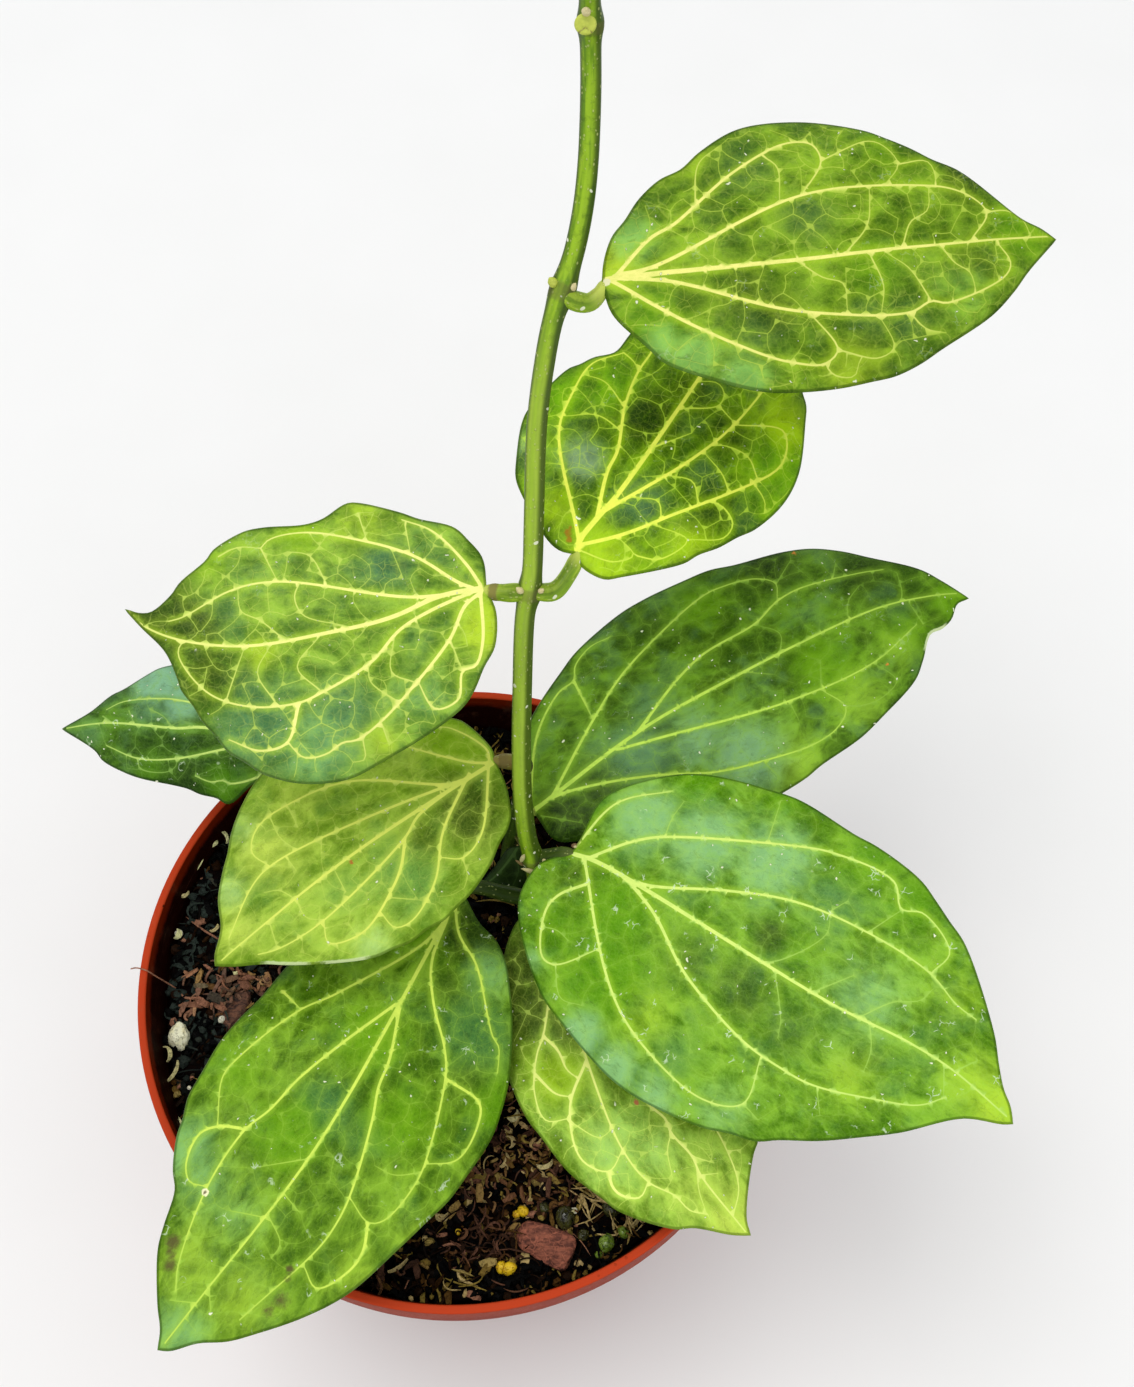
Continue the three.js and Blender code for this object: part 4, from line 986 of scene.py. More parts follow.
class BladeTop(Finish):
    """The waxy upper face of one blade, whose layers share a few patterns."""

    def __init__(self, leaf):
        super().__init__(leaf["name"] + "_top", IOR=1.45, Specular_IOR_Level=0.1)
        self.leaf = leaf
        self.spot = self.value("blade_place", wide=True)
        self.gap = self.value("vein_gap")
        self.rank = self.value("vein_rank")
        self.margin = self.value("margin")
        self.vein = self.ramp(self.gap, 0.08, -0.09)
        self.mottle = self.noise(self.scaled(self.spot, (0.7, 1.1, 1)), 4.6, detail=4, rough=0.62, warp=0.6)
        self.grain = self.noise(self.spot, 0.8, detail=3, rough=0.7)
        drawn_out = self.scaled(self.shaken(self.spot, 4, 3), (0.5, 1.1, 1))
        self.fleck = self.noise(drawn_out, 1.5, detail=4, rough=0.75)
        self.bent = self.shaken(self.spot, 2.6, 1.3)
        self.small_net = self.small_links()
        self.specks = self.dust_specks()
        self.ragged = self.times(self.plus(self.mottle, self.grain), 0.5)
        self.brown = self.ramp(self.plus(self.value("brown"), self.times(self.ragged, 0.9)), 0.68, 1.05)

    def tint(self, kind, factor=1.0):
        """One of the leaf's own colours, changed by a factor."""
        return toned(self.leaf[kind], factor, self.leaf["light"])

    def small_links(self):
        """Links finer than the modelled ones, clearer in some places than in others."""
        links = self.ramp(self.cells(self.bent, 2.7, "DISTANCE_TO_EDGE"), 0.06, 0.012)
        return self.times(links, self.ramp(self.noise(self.spot, 6), 0.38, 0.62, 0.15, 1.0))

    def dust_specks(self):
        """Round specks of several sizes, that lie in groups."""
        sizes = self.times(self.plus(self.noise(self.spot, 2.3, detail=1), -0.5), 0.24)
        dots = self.ramp(self.plus(self.cells(self.shaken(self.spot, 2, 2), 2.1), sizes), 0.11, 0.06)
        return self.times(dots, self.ramp(self.noise(self.spot, 7, detail=1), 0.47, 0.53))

    def mottled(self):
        """Deep and fresh green in cells, under cool clouds of painted sheen."""
        broad = self.noise(self.spot, 17, detail=2)
        tone = self.plus(self.times(broad, 0.4), self.times(self.mottle, 0.6))
        color = self.mix(self.ramp(tone, 0.4, 0.62), self.tint("deep", 0.96), self.tint("fresh"))
        # Painted sheen: cool clouds over the whole blade.
        cloud = self.noise(self.scaled(self.spot, (1, 1, 1.7)), 8.5, detail=3)
        return self.cover(color, self.tint("cool"), self.ramp(cloud, 0.5, 0.64), 0.34)

    def patch(self, color, kind, tint, strength):
        """The colour with the leaf's patches of one kind laid over it, their edges uneven."""
        uneven = self.times(self.plus(self.mottle, -0.5), 0.6)
        shown = self.ramp(self.plus(self.value(kind), uneven), 0.08, 0.86)
        return self.cover(color, tint, shown, strength)

    def patched(self, color):
        """All the patches, painted sheen and painted shade among them, and light and dark flecks over them.
        """
        for kind, (tint, factor, strength) in PATCH_TINTS.items():
            color = self.patch(color, kind, self.tint(tint, factor), strength)
        color = self.cover(color, self.tint("fresh", 1.1), self.ramp(self.fleck, 0.52, 0.68), 0.26)
        return self.cover(color, self.tint("deep", 0.6), self.ramp(self.fleck, 0.47, 0.32), 0.26)

    def netted(self, color):
        """Darker cells between the veins, fresher skin beside them, and the finest net."""
        between = 0.04 + 0.34 * self.leaf["net_strength"]
        color = self.cover(color, self.tint("deep", 0.82), self.ramp(self.gap, 0.5, 2.2), between)
        near_vein = self.times(self.ramp(self.gap, 1.4, 0.0), self.ramp(self.rank, 0.1, 0.9, 0.16, 0.6))
        color = self.cover(color, self.tint("fresh", 1.04), near_vein, 0.5)
        color = self.cover(color, self.tint("warm"), near_vein, 0.5)
        finest_net = self.ramp(self.cells(self.bent, 0.95, "DISTANCE_TO_EDGE"), 0.13, 0.03)
        color = self.cover(color, self.tint("net"), finest_net, 0.07)
        return self.cover(color, self.tint("net"), self.small_net, 0.36 * self.leaf["net_strength"])

    def veined(self, color):
        """The pale veins, and the thin dark line round the blade, partly the margin's own darker tone and
        partly painted shade at its edge.
        """
        vein_color = self.mix(self.ramp(self.rank, 0.3, 0.9), self.tint("net"), self.tint("vein"))
        vein_color = self.cover(vein_color, self.tint("net"), self.ramp(self.fleck, 0.4, 0.65), 0.3)
        shown = self.times(self.vein, self.ramp(self.rank, 0.1, 0.65, self.leaf["net_strength"], 1.0))
        color = self.mix(shown, color, vein_color)
        # The dark line round the margin is partly its own tone and partly painted edge shade.
        return self.cover(color, self.tint("deep", 0.62), self.ramp(self.margin, 0.42, 0.16), 0.6)

    def dusted(self, color):
        """Dust specks and streaky scuffs."""
        color = self.cover(color, shade(*DUST, self.leaf["light"]), self.specks, 0.85)
        bent = self.shaken(self.spot, 1.2, 1.4)
        streaks = self.ramp(self.cells(bent, 1.5, "DISTANCE_TO_EDGE"), 0.07, 0.03)
        streaks = self.times(streaks, self.ramp(self.noise(self.spot, 4.2, detail=2), 0.64, 0.7))
        return self.cover(color, shade(*SCUFF, self.leaf["light"]), streaks, self.leaf["scuffs"])

    def marked(self, color):
        """Pale, torn and brown marks with ragged edges."""
        pale = self.ramp(self.plus(self.value("pale"), self.times(self.ragged, 0.5)), 0.62, 0.8)
        color = self.mix(pale, color, shade(*PALE_MARK, self.leaf["light"]))
        torn = self.ramp(self.plus(self.value("torn"), self.times(self.ragged, 0.6)), 0.75, 0.95)
        at_margin = self.ramp(self.plus(self.margin, self.times(self.ragged, -0.7)), 0.16, -0.1)
        torn = self.times(torn, at_margin)
        color = self.cover(color, shade(*TORN_MARK, self.leaf["light"]), torn, 0.7)
        return self.cover(color, self.tint("spot"), self.brown, 0.85)

    def dullness(self):
        """The roughness, higher on the veins and on the brown marks."""
        gloss = self.leaf["gloss"]
        roughness = self.ramp(self.grain, 0.3, 0.7, gloss - 0.04, gloss + 0.1)
        roughness = self.plus(roughness, self.times(self.vein, 0.08))
        return self.plus(roughness, self.times(self.brown, 0.25))

    def relief(self):
        """The small relief: grain, mottle, creases along the net and raised specks."""
        height = self.plus(self.times(self.grain, 0.3), self.times(self.mottle, 0.6))
        creases = self.times(self.ramp(self.gap, 0.0, 0.4), self.small_net)
        height = self.plus(height, self.times(creases, -0.22))
        return self.plus(height, self.times(self.specks, 0.5))


def blade_top(leaf):
    """The upper face's material: mottled cells, patches with painted sheen and painted shade among them, a
    fine net, pale veins, dust specks and blemishes.
    """
    look = BladeTop(leaf)
    color = look.netted(look.patched(look.mottled()))
    color = look.contrast(color, look.tint("fresh", BLADE_MIDDLE), BLADE_CONTRAST)
    color = look.marked(look.dusted(look.veined(color)))
    return look.finish(color, look.dullness(), look.relief(), depth=0.3)


def blade_under(leaf):
    """The duller, paler underside."""
    look = Finish(leaf["name"] + "_under", IOR=1.42, Specular_IOR_Level=0.3)
    place = look.value("blade_place", wide=True)
    mottle = look.noise(place, 6, detail=4)
    grain = look.noise(place, 0.7, detail=2)
    dull = [0.35 * c + 0.65 * t for c, t in zip(leaf["fresh"], UNDER_TONE)]
    color = look.mix(mottle, toned(dull, 0.82), shade(*dull))
    net = look.ramp(look.cells(look.shaken(place, 3.0, 1.6), 3.3, "DISTANCE_TO_EDGE"), 0.07, 0.02)
    color = look.cover(color, toned(dull, 0.7), net, 0.3)
    vein = look.ramp(look.value("vein_gap"), 0.25, -0.2)
    color = look.cover(color, shade(*UNDER_VEIN), vein, 0.8)
    height = look.plus(grain, look.times(net, 0.5))
    return look.finish(color, look.ramp(grain, 0.3, 0.7, 0.5, 0.65), height, depth=0.15)


# What the values on a stalk's mesh tint it with, and how strongly
STALK_TINTS = [
    ("blade_end", (202, 212, 98), 0.8),
    # A stalk's dark tint is painted shade, for a stalk that lies in the shade of other leaves.
    ("stalk_dark", (46, 66, 28), 0.92),
    ("stalk_brown", (128, 84, 58), 0.85),
]
STEM_PALE = (178, 204, 76)
STEM_PORE = (204, 214, 130)
STEM_DROP = (238, 240, 214)


def stalk_finish(name, light, dark, node_color, cork_share=0.8, side_shade=0.85):
    """Green stems and stalks: soft streaks, sides darkened by painted shade and a middle lightened by a
    painted highlight, pale pores, corky nodes, a pale stretch of the main stem and a paler end at the blade."""
    look = Finish(name, IOR=1.45, Specular_IOR_Level=0.25)
    along = look.value("stem_place", wide=True)
    streaks = look.noise(look.scaled(along, (1, 0.1, 1)), 1.1, detail=3)
    mottle = look.noise(along, 1.4, detail=4, rough=0.7)
    color = look.mix(look.ramp(streaks, 0.36, 0.6), shade(*dark), shade(*light))
    color = look.cover(color, toned(dark, 0.72), look.ramp(mottle, 0.5, 0.68), 0.45)
    color = look.cover(color, shade(*STEM_PALE), look.value("stem_pale"), 0.6)
    sideways = look.sideways(along)
    # Painted shade on both sides of the tube, and a painted highlight down its middle.
    color = look.cover(color, toned(dark, 0.52), look.ramp(sideways, 0.75, 1.6), side_shade)
    color = look.cover(color, toned(light, 1.12), look.ramp(sideways, 0.6, 0.1), 0.35)
    for value, tint, strength in STALK_TINTS:
        color = look.cover(color, shade(*tint), look.value(value), strength)
    pores = look.ramp(look.cells(look.scaled(along, (1, 0.7, 1)), 0.8), 0.3, 0.16)
    pores = look.times(pores, look.ramp(look.noise(along, 1.3, detail=1), 0.44, 0.52))
    color = look.cover(color, shade(*STEM_PORE), pores, 0.5)
    drops = look.ramp(look.cells(look.shaken(along, 5, 3), 3.1), 0.13, 0.1)
    color = look.cover(color, shade(*STEM_DROP), drops, 0.85)
    uneven_node = look.plus(look.value("node_tint"), look.times(look.noise(along, 0.8), 0.55))
    cork = look.ramp(uneven_node, 0.72, 1.05)
    color = look.cover(color, shade(*node_color), cork, cork_share)
    roughness = look.plus(look.ramp(streaks, 0.3, 0.7, 0.38, 0.5), look.times(cork, 0.25))
    height = look.plus(look.times(streaks, 0.7), look.times(pores, 0.6))
    height = look.plus(height, look.times(mottle, 0.5))
    height = look.plus(height, look.times(cork, 0.5))
    return look.finish(color, roughness, height, depth=0.16)


# Leaf shapes
LINE_STEP = 0.9
# How far apart the rows of an even field of triangles are, as a share of their side
ROW_SHARE = 0.87
# Half widths of the midrib, a main vein and a side vein, at their two ends
MIDRIB_WIDTHS = (0.54, 0.16)
MAIN_VEIN_WIDTHS = (0.38, 0.13)
SIDE_VEIN_WIDTHS = (0.16, 0.08)
MAIN_VEIN_RANK = 0.9
VEIN_FADE = 0.4
# A place that far from every vein reads as clear of them
CLEAR_OF_VEINS = 9.0
VEIN_REACH = 5
# The net between the veins: the size of its cells, how near a vein they join it, and a vein's loose end
NET_PITCH = 5.2
NET_SNAP = 1.6
LOOSE_END = 1.2
SHORTEST_LINK = 1.8
MISSING_LINKS = 0.08
# How much farther a cell corner that already lies on a vein counts, when a loose end looks for one
JOINED_ALREADY = 9


def leaf_axes(leaf):
    """A blade's base, its directions along, across and up, and its length."""
    base = np.array(leaf["base"], float)
    along = np.array(leaf["tip"], float) - base
    length = np.linalg.norm(along)
    along /= length
    up = np.array(leaf["facing"], float)
    up -= up @ along * along
    up /= np.linalg.norm(up)
    return base, along, np.cross(up, along), up, length


def on_blade(leaf, places, above):
    """Where places along and across a blade lie in the plant's frame, that far above its middle."""
    base, along, across, up, length = leaf_axes(leaf)
    u, v = places.T
    share = u / length
    outward = (v / leaf["half_width"]) ** 2
    ripple = leaf["wave"] * np.sin(2 * np.pi * (leaf["waves"] * share + leaf["phase"]))
    rise = leaf["arch"] * 4 * share * (1 - share) + (leaf["cup"] + ripple) * outward + above
    return base + u[:, None] * along + v[:, None] * across + rise[:, None] * up


def vein_courses(leaf):
    """The blade's veins, each a line with its half width at both ends and its rank."""
    courses = []
    for number, course in enumerate(leaf["veins"]):
        if number == 0:
            widths, rank = MIDRIB_WIDTHS, 1.0
        elif number < leaf["main_veins"]:
            widths, rank = MAIN_VEIN_WIDTHS, MAIN_VEIN_RANK
        else:
            widths, rank = SIDE_VEIN_WIDTHS, leaf["small_veins"]
        widths = [width * leaf["vein_size"] for width in widths]
        courses.append((smooth_line(course, LINE_STEP), widths, rank))
    return courses


def nearest_vein(places, courses):
    """How far each place is outside its nearest vein's edge, and that vein's rank there."""
    gap = np.full(len(places), CLEAR_OF_VEINS)
    rank = np.zeros(len(places))
    for line, widths, line_rank in courses:
        low, high = line.min(0) - VEIN_REACH, line.max(0) + VEIN_REACH
        near = np.flatnonzero(((places >= low) & (places <= high)).all(1))
        away, share = line_distance(places[near], line)
        outside = away - (widths[0] + (widths[1] - widths[0]) * share)
        closer = outside < gap[near]
        gap[near[closer]] = outside[closer]
        rank[near[closer]] = line_rank * (1 - VEIN_FADE * line_rank * share[closer] ** 1.5)
    return gap, rank


def loose_ends(lines):
    """The ends of veins that reach no other vein."""
    ends = []
    for number, line in enumerate(lines):
        others = lines[:number] + lines[number + 1:]
        for end in (line[0], line[-1]):
            if min(line_distance(end[None], other)[0][0] for other in others) > LOOSE_END:
                ends.append(end)
    return ends


def even_rows(low, high, pitch):
    """Places over a field in even rows, every other row moved by half a step."""
    places = []
    for row, v in enumerate(np.arange(low[1], high[1], pitch * ROW_SHARE)):
        for u in np.arange(low[0], high[0], pitch):
            places.append((u + (row % 2) * pitch / 2, v))
    return np.array(places)


def circle_middle(one, two, three):
    """The middle of the circle through three places."""
    (ax, ay), (bx, by), (cx, cy) = one, two, three
    twice = 2 * (ax * (by - cy) + bx * (cy - ay) + cx * (ay - by))
    squares = ax * ax + ay * ay, bx * bx + by * by, cx * cx + cy * cy
    x = (squares[0] * (by - cy) + squares[1] * (cy - ay) + squares[2] * (ay - by)) / twice
    y = (squares[0] * (cx - bx) + squares[1] * (ax - cx) + squares[2] * (bx - ax)) / twice
    return x, y


def net_cells(random, loop):
    """Uneven cells over a blade: the places of their corners, and the pairs that a side joins."""
    seeds = even_rows(loop.min(0) - NET_PITCH, loop.max(0) + NET_PITCH, NET_PITCH)
    seeds += random.uniform(-0.34, 0.34, seeds.shape) * NET_PITCH
    made = geometry.delaunay_2d_cdt([Vector(s) for s in seeds], [], [], 0, 1e-5)
    corners = np.array([tuple(v) for v in made[0]])
    middles = np.array([circle_middle(*corners[list(face)]) for face in made[2]])
    sides = {}
    for number, face in enumerate(made[2]):
        for a, b in zip(face, np.roll(face, -1)):
            sides.setdefault((min(a, b), max(a, b)), []).append(number)
    return middles, [pair for pair in sides.values() if len(pair) > 1]


def joined_to_veins(middles, lines):
    """Moves cell corners onto the veins beside them. Gives all the places, and which ones lie on a vein."""
    places = middles.copy()
    nearest = np.full(len(middles), NET_SNAP)
    for line in lines:
        for i, middle in enumerate(middles):
            away = np.hypot(*(line - middle).T)
            spot = away.argmin()
            if away[spot] < nearest[i]:
                nearest[i] = away[spot]
                places[i] = line[spot]
    snapped = nearest < NET_SNAP
    for end in loose_ends(lines):
        away = np.hypot(*(middles - end).T) + JOINED_ALREADY * snapped
        spot = away.argmin()
        if away[spot] < NET_PITCH:
            places[spot] = end
    return places, snapped


def net_courses(leaf, loop, courses, seed):
    """The thin links between the veins: the sides of uneven cells, joined to the veins that they reach."""
    random = np.random.default_rng(seed)
    middles, pairs = net_cells(random, loop)
    places, snapped = joined_to_veins(middles, [course[0] for course in courses])
    usable = inside(middles, loop)
    links = []
    for one, two in pairs:
        if not (usable[one] and usable[two]) or (snapped[one] and snapped[two]):
            continue
        start, end = places[one], places[two]
        span = end - start
        if np.hypot(*span) < SHORTEST_LINK or random.random() < MISSING_LINKS:
            continue
        bend = random.uniform(-0.16, 0.16) * np.array([-span[1], span[0]])
        middle = (start + end) / 2 + bend
        width = random.uniform(0.05, 0.09) * leaf["vein_size"]
        rank = random.uniform(0.1, 0.18 + 0.22 * leaf["net_strength"])
        links.append((smooth_line([start, middle, end], LINE_STEP), (width, width), rank))
    return links


class Places:
    """Places in a blade's plane, where a new one too near an old one is left out."""

    def __init__(self, cell):
        self.cell = cell
        self.found = []
        self.grid = {}

    def near(self, place, reach):
        """The number of an old place that is nearer than reach, if there is one."""
        column, row = int(place[0] // self.cell), int(place[1] // self.cell)
        for i in range(column - 1, column + 2):
            for j in range(row - 1, row + 2):
                for other in self.grid.get((i, j), ()):
                    if math.hypot(self.found[other][0] - place[0], self.found[other][1] - place[1]) < reach:
                        return other
        return None

    def add(self, place, reach):
        """The number of the place, or of an old one that is nearer than reach."""
        other = self.near(place, reach)
        if other is not None:
            return other
        self.found.append((float(place[0]), float(place[1])))
        key = int(place[0] // self.cell), int(place[1] // self.cell)
        self.grid.setdefault(key, []).append(len(self.found) - 1)
        return len(self.found) - 1


def closed_line(loop):
    """A loop with its first point again at its end."""
    return np.vstack([loop, loop[:1]])


def line_sides(line):
    """The unit vectors across a line at each of its points."""
    step = np.gradient(line, axis=0)
    step /= np.maximum(np.linalg.norm(step, axis=1), 1e-9)[:, None]
    return np.column_stack([-step[:, 1], step[:, 0]])


def loop_sides(loop):
    """The unit vectors into a loop at each of its points."""
    return line_sides(np.vstack([loop[-1:], loop, loop[:1]]))[1:-1]


# How a blade is cut into triangles: the rows inside its margin, how far a vein's points stay off it, and
# how near two points of a vein, and two of the other places, may be
MARGIN_ROWS = (0.45, 1.1, 2.0)
MARGIN_CLEAR = 0.45
VEIN_SPACING = 0.4
PLACE_SPACING = 0.42
FILL_SPACING = 0.62
GRID_CELL = 1.6
SMALL_PATCH = 4
# The pitch of the two faces' triangles, and the rows beside each vein
TOP_PITCH = 1.35
TOP_FLANKS = (0.15, 0.85, 1.8)
UNDER_PITCH = 3.2
UNDER_FLANKS = (0.2, 0.8)


def vein_edges(places, loop, lines):
    """Adds the points of the veins to the places, and gives the edges that join them."""
    edges = []
    steps = np.vstack(lines)
    clear = inside(steps, loop) & (line_distance(steps, closed_line(loop))[0] > MARGIN_CLEAR)
    splits = np.cumsum([len(line) for line in lines])[:-1]
    for line, line_clear in zip(lines, np.split(clear, splits)):
        last = None
        for point, usable in zip(line, line_clear):
            number = places.add(point, VEIN_SPACING) if usable else None
            if number is not None and last is not None and number != last:
                edges.append((last, number))
            last = number
    return edges


def fine_places(loop, courses, spots, flanks):
    """Places in rows inside the margin, in rows beside each vein, and in rings over each small mark."""
    rows = [loop + loop_sides(loop) * depth for depth in MARGIN_ROWS]
    for line, widths, rank in courses:
        across = line_sides(line)
        width = np.linspace(*widths, len(line))[:, None]
        for out in flanks:
            rows.append(line + across * (width + out))
            rows.append(line - across * (width + out))
    for u, v, size in spots:
        for ring in range(1, 5):
            angles = np.arange(4 * ring) * (np.pi / 2 / ring)
            circle = np.column_stack([np.cos(angles), np.sin(angles)])
            rows.append(np.array([u, v]) + circle * (size * ring / 3))
    return np.vstack(rows)


def facing_up(made, edge_ids):
    """The corners of a triangulation, its triangles all turned one way, and the outline's corners."""
    origin = {}
    for number, sources in enumerate(made[3]):
        for source in sources:
            origin[source] = number
    corners = np.array([tuple(v) for v in made[0]])
    faces = np.array([tuple(f) for f in made[2] if len(f) == 3])
    one, two, three = corners[faces[:, 0]], corners[faces[:, 1]], corners[faces[:, 2]]
    turn = (two[:, 0] - one[:, 0]) * (three[:, 1] - one[:, 1])
    turn -= (two[:, 1] - one[:, 1]) * (three[:, 0] - one[:, 0])
    faces[turn < 0] = faces[turn < 0][:, ::-1]
    return corners, faces[abs(turn) > 1e-7], [origin[i] for i in edge_ids]


def triangulate(loop, courses, spots, pitch, flanks, seed):
    """Fills a blade's outline with triangles whose edges follow the veins.
    Gives the places, the triangles and the numbers of the outline's places."""
    random = np.random.default_rng(seed)
    places = Places(GRID_CELL)
    edge_ids = [places.add(p, 0) for p in loop]
    edges = vein_edges(places, loop, [course[0] for course in courses])
    fine = fine_places(loop, courses, spots, flanks)
    for point in fine[inside(fine, loop)]:
        places.add(point, PLACE_SPACING)
    fill = even_rows(loop.min(0), loop.max(0), pitch)
    fill += random.uniform(-0.2, 0.2, fill.shape) * pitch
    for point in fill[inside(fill, loop)]:
        places.add(point, FILL_SPACING * pitch)
    vectors = [Vector(p) for p in places.found]
    return facing_up(geometry.delaunay_2d_cdt(vectors, edges, [edge_ids], 1, 1e-5), edge_ids)


def bands(rows, first):
    """Four-sided faces between rows of corners, each face starting at its corner of that number.
    A corner that comes twice, as at a pole, is left out."""
    faces = []
    for upper, lower in zip(rows, rows[1:]):
        for j in range(len(upper)):
            k = (j + 1) % len(upper)
            face = [upper[j], lower[j], lower[k], upper[k]]
            face = face[first:] + face[:first]
            kept = [c for n, c in enumerate(face) if c != face[n - 1]]
            if len(kept) > 2:
                faces.append(tuple(kept))
    return faces


PATCH_KINDS = (*PATCH_TINTS, "pale", "torn", "brown")
EDGE_WARMTH = 0.2
BASE_WARMTH = 0.3
# How far in from the margin a blade has its full thickness
ROUNDING = 2.2
# The rows of its rounded edge: how far out and how high each one lies
EDGE_ROWS = ((0.12, 0.12), (0.17, 0), (0.12, -0.12))


def blemish(places, patches, kind):
    """How strongly the patches of one kind touch each place, from 0 to 1."""
    total = np.zeros(len(places))
    for patch_kind, u, v, size, strength in patches:
        if patch_kind == kind:
            away = np.hypot(places[:, 0] - u, places[:, 1] - v) / size
            total = np.maximum(total, strength * np.exp(-away ** 2))
    return total


def blade_outline(leaf):
    """The blade's outline as one loop, out along its right side and back along its left."""
    right = smooth_line(leaf["right"], LINE_STEP)
    left = smooth_line(leaf["left"], LINE_STEP)
    return np.vstack([right[:-1], left[:0:-1]])


def blade_values(leaf, loop, places, courses, seed):
    """The values at each place that the blade's materials read."""
    gap, rank = nearest_vein(places, courses)
    flat = np.column_stack([places, np.zeros(len(places))])
    margin = line_distance(places, closed_line(loop))[0]
    ripple = 0.5 + 0.5 * rough(flat, 7, seed + 3)
    edge_warm = EDGE_WARMTH * ramp(margin, 5.5, 0) * ripple
    base_warm = BASE_WARMTH * np.exp(-np.hypot(*places.T) / 11)
    found = {
        "blade_place": flat + (0, 0, 40 * seed), "vein_gap": gap, "vein_rank": rank, "margin": margin,
    }
    for kind in PATCH_KINDS:
        found[kind] = blemish(places, leaf["patches"], kind)
    found["warm"] = np.maximum(found["warm"], np.maximum(edge_warm, base_warm))
    return found


def half_thickness(margin):
    """Half of a blade's thickness, that far from its margin."""
    near = np.clip(margin / ROUNDING, 0, 1)
    return EDGE_HALF + (BLADE_HALF - EDGE_HALF) * (1 - (1 - near) ** 2)


def top_height(leaf, places, found, seed):
    """How far the upper face stands above the blade's middle, with its skin quilted between the veins."""
    gap, rank, margin = found["vein_gap"], found["vein_rank"], found["margin"]
    reach = 1.0 + 1.6 * rank
    quilt = (0.12 + 0.36 * rank) * (1 - np.exp(-(np.maximum(gap, 0) / reach) ** 2))
    swell = leaf["quilt"] * quilt * ramp(margin, 0, 4)
    flat = np.column_stack([places, np.zeros(len(places))])
    uneven = 0.5 * rough(flat, 12, seed)
    uneven += 0.1 * rough(flat, 3.2, seed + 9)
    uneven *= ramp(margin, 0, 3)
    return half_thickness(margin) + swell + uneven


def under_depth(found):
    """How far the underside stands below the blade's middle, with its ribs."""
    rib = 0.5 * found["vein_rank"] * np.exp(-(np.maximum(found["vein_gap"], 0) / 0.45) ** 2)
    return half_thickness(found["margin"]) + rib * ramp(found["margin"], 0, 3)


def add_edge(piece, leaf, loop, veins, seed, top_row, under_row):
    """The rounded edge, between the outlines of the upper and the under face."""
    outward = -loop_sides(loop)
    rows = [top_row]
    for out, height in EDGE_ROWS:
        ring = loop + outward * out
        corners = on_blade(leaf, ring, np.full(len(ring), float(height)))
        piece.add(corners, [], 0, **blade_values(leaf, loop, ring, veins, seed))
        rows.append([piece.count - len(ring) + i for i in range(len(ring))])
    rows.append(under_row)
    for face in bands(rows, first=3):
        piece.faces.append(face)
        piece.kinds.append(0)


def add_blade(piece, leaf, seed):
    """A blade's two faces and its rounded edge, with the values that its materials read."""
    loop = blade_outline(leaf)
    veins = vein_courses(leaf)
    courses = veins + net_courses(leaf, loop, veins, seed)
    spots = [(u, v, size) for kind, u, v, size, strength in leaf["patches"] if size < SMALL_PATCH]
    top, top_faces, top_edge = triangulate(loop, courses, spots, TOP_PITCH, TOP_FLANKS, seed)
    found = blade_values(leaf, loop, top, courses, seed)
    piece.add(on_blade(leaf, top, top_height(leaf, top, found, seed)), top_faces, 0, **found)
    top_row = [piece.count - len(top) + i for i in top_edge]

    mains = veins[:leaf["main_veins"]]
    under, under_faces, under_edge = triangulate(loop, mains, [], UNDER_PITCH, UNDER_FLANKS, seed)
    found = blade_values(leaf, loop, under, mains, seed)
    piece.add(on_blade(leaf, under, -under_depth(found)), under_faces[:, ::-1], 1, **found)
    under_row = [piece.count - len(under) + i for i in under_edge]
    add_edge(piece, leaf, loop, veins, seed, top_row, under_row)


# A direction that no stem or stalk starts along
TUBE_SIDE = (0.3, 1.0, 0.2)


def tube(points, radius_at, sides, spacing, ridges=0.0):
    """A closed round tube along a smooth curve.
    Gives its corners and faces, and each corner's place round it and along it, with its centre."""
    line = smooth_line(points, spacing)
    tangents = np.gradient(line, axis=0)
    tangents /= np.linalg.norm(tangents, axis=1)[:, None]
    normal = np.cross(tangents[0], TUBE_SIDE)
    normal /= np.linalg.norm(normal)
    run = np.concatenate([[0], np.cumsum(np.linalg.norm(np.diff(line, axis=0), axis=1))])
    radius = radius_at(run / run[-1], line)
    corners, places, centres = [], [], []
    angles = 2 * np.pi * np.arange(sides) / sides
    for i, centre in enumerate(line):
        normal = normal - normal @ tangents[i] * tangents[i]
        normal /= np.linalg.norm(normal)
        other = np.cross(tangents[i], normal)
        ribs = ridges * (np.cos(5 * angles + 0.02 * run[i]) + 0.5 * np.cos(9 * angles))
        around = np.cos(angles)[:, None] * normal + np.sin(angles)[:, None] * other
        corners.append(centre + (radius[i] * (1 + ribs))[:, None] * around)
        around = np.column_stack([np.cos(angles), np.full(sides, run[i]), np.sin(angles)])
        places.append(around * (radius[i], 1, radius[i]))
        centres.append(np.repeat(centre[None], sides, axis=0))
    faces = []
    for i in range(len(line) - 1):
        for j in range(sides):
            a, b = i * sides + j, i * sides + (j + 1) % sides
            faces.append((a, b, b + sides, a + sides))
    faces.append(tuple(range(sides - 1, -1, -1)))
    faces.append(tuple(range((len(line) - 1) * sides, len(line) * sides)))
    return np.vstack(corners), faces, np.vstack(places), np.vstack(centres)


# A stalk runs out under its blade: (along the blade, below its middle), first in mm and then as shares
STALK_UNDER = ((0.7, -0.85), (3.2, -1.05))
STALK_RUNOUT = ((0.1, -1.0), (0.27, -0.8))
STALK_THIN_RADIUS = 0.75
STALK_SIDES = 20
STALK_STEP = 0.5
COLLAR_PLACE = -1.4
COLLAR_HEIGHT = 0.14


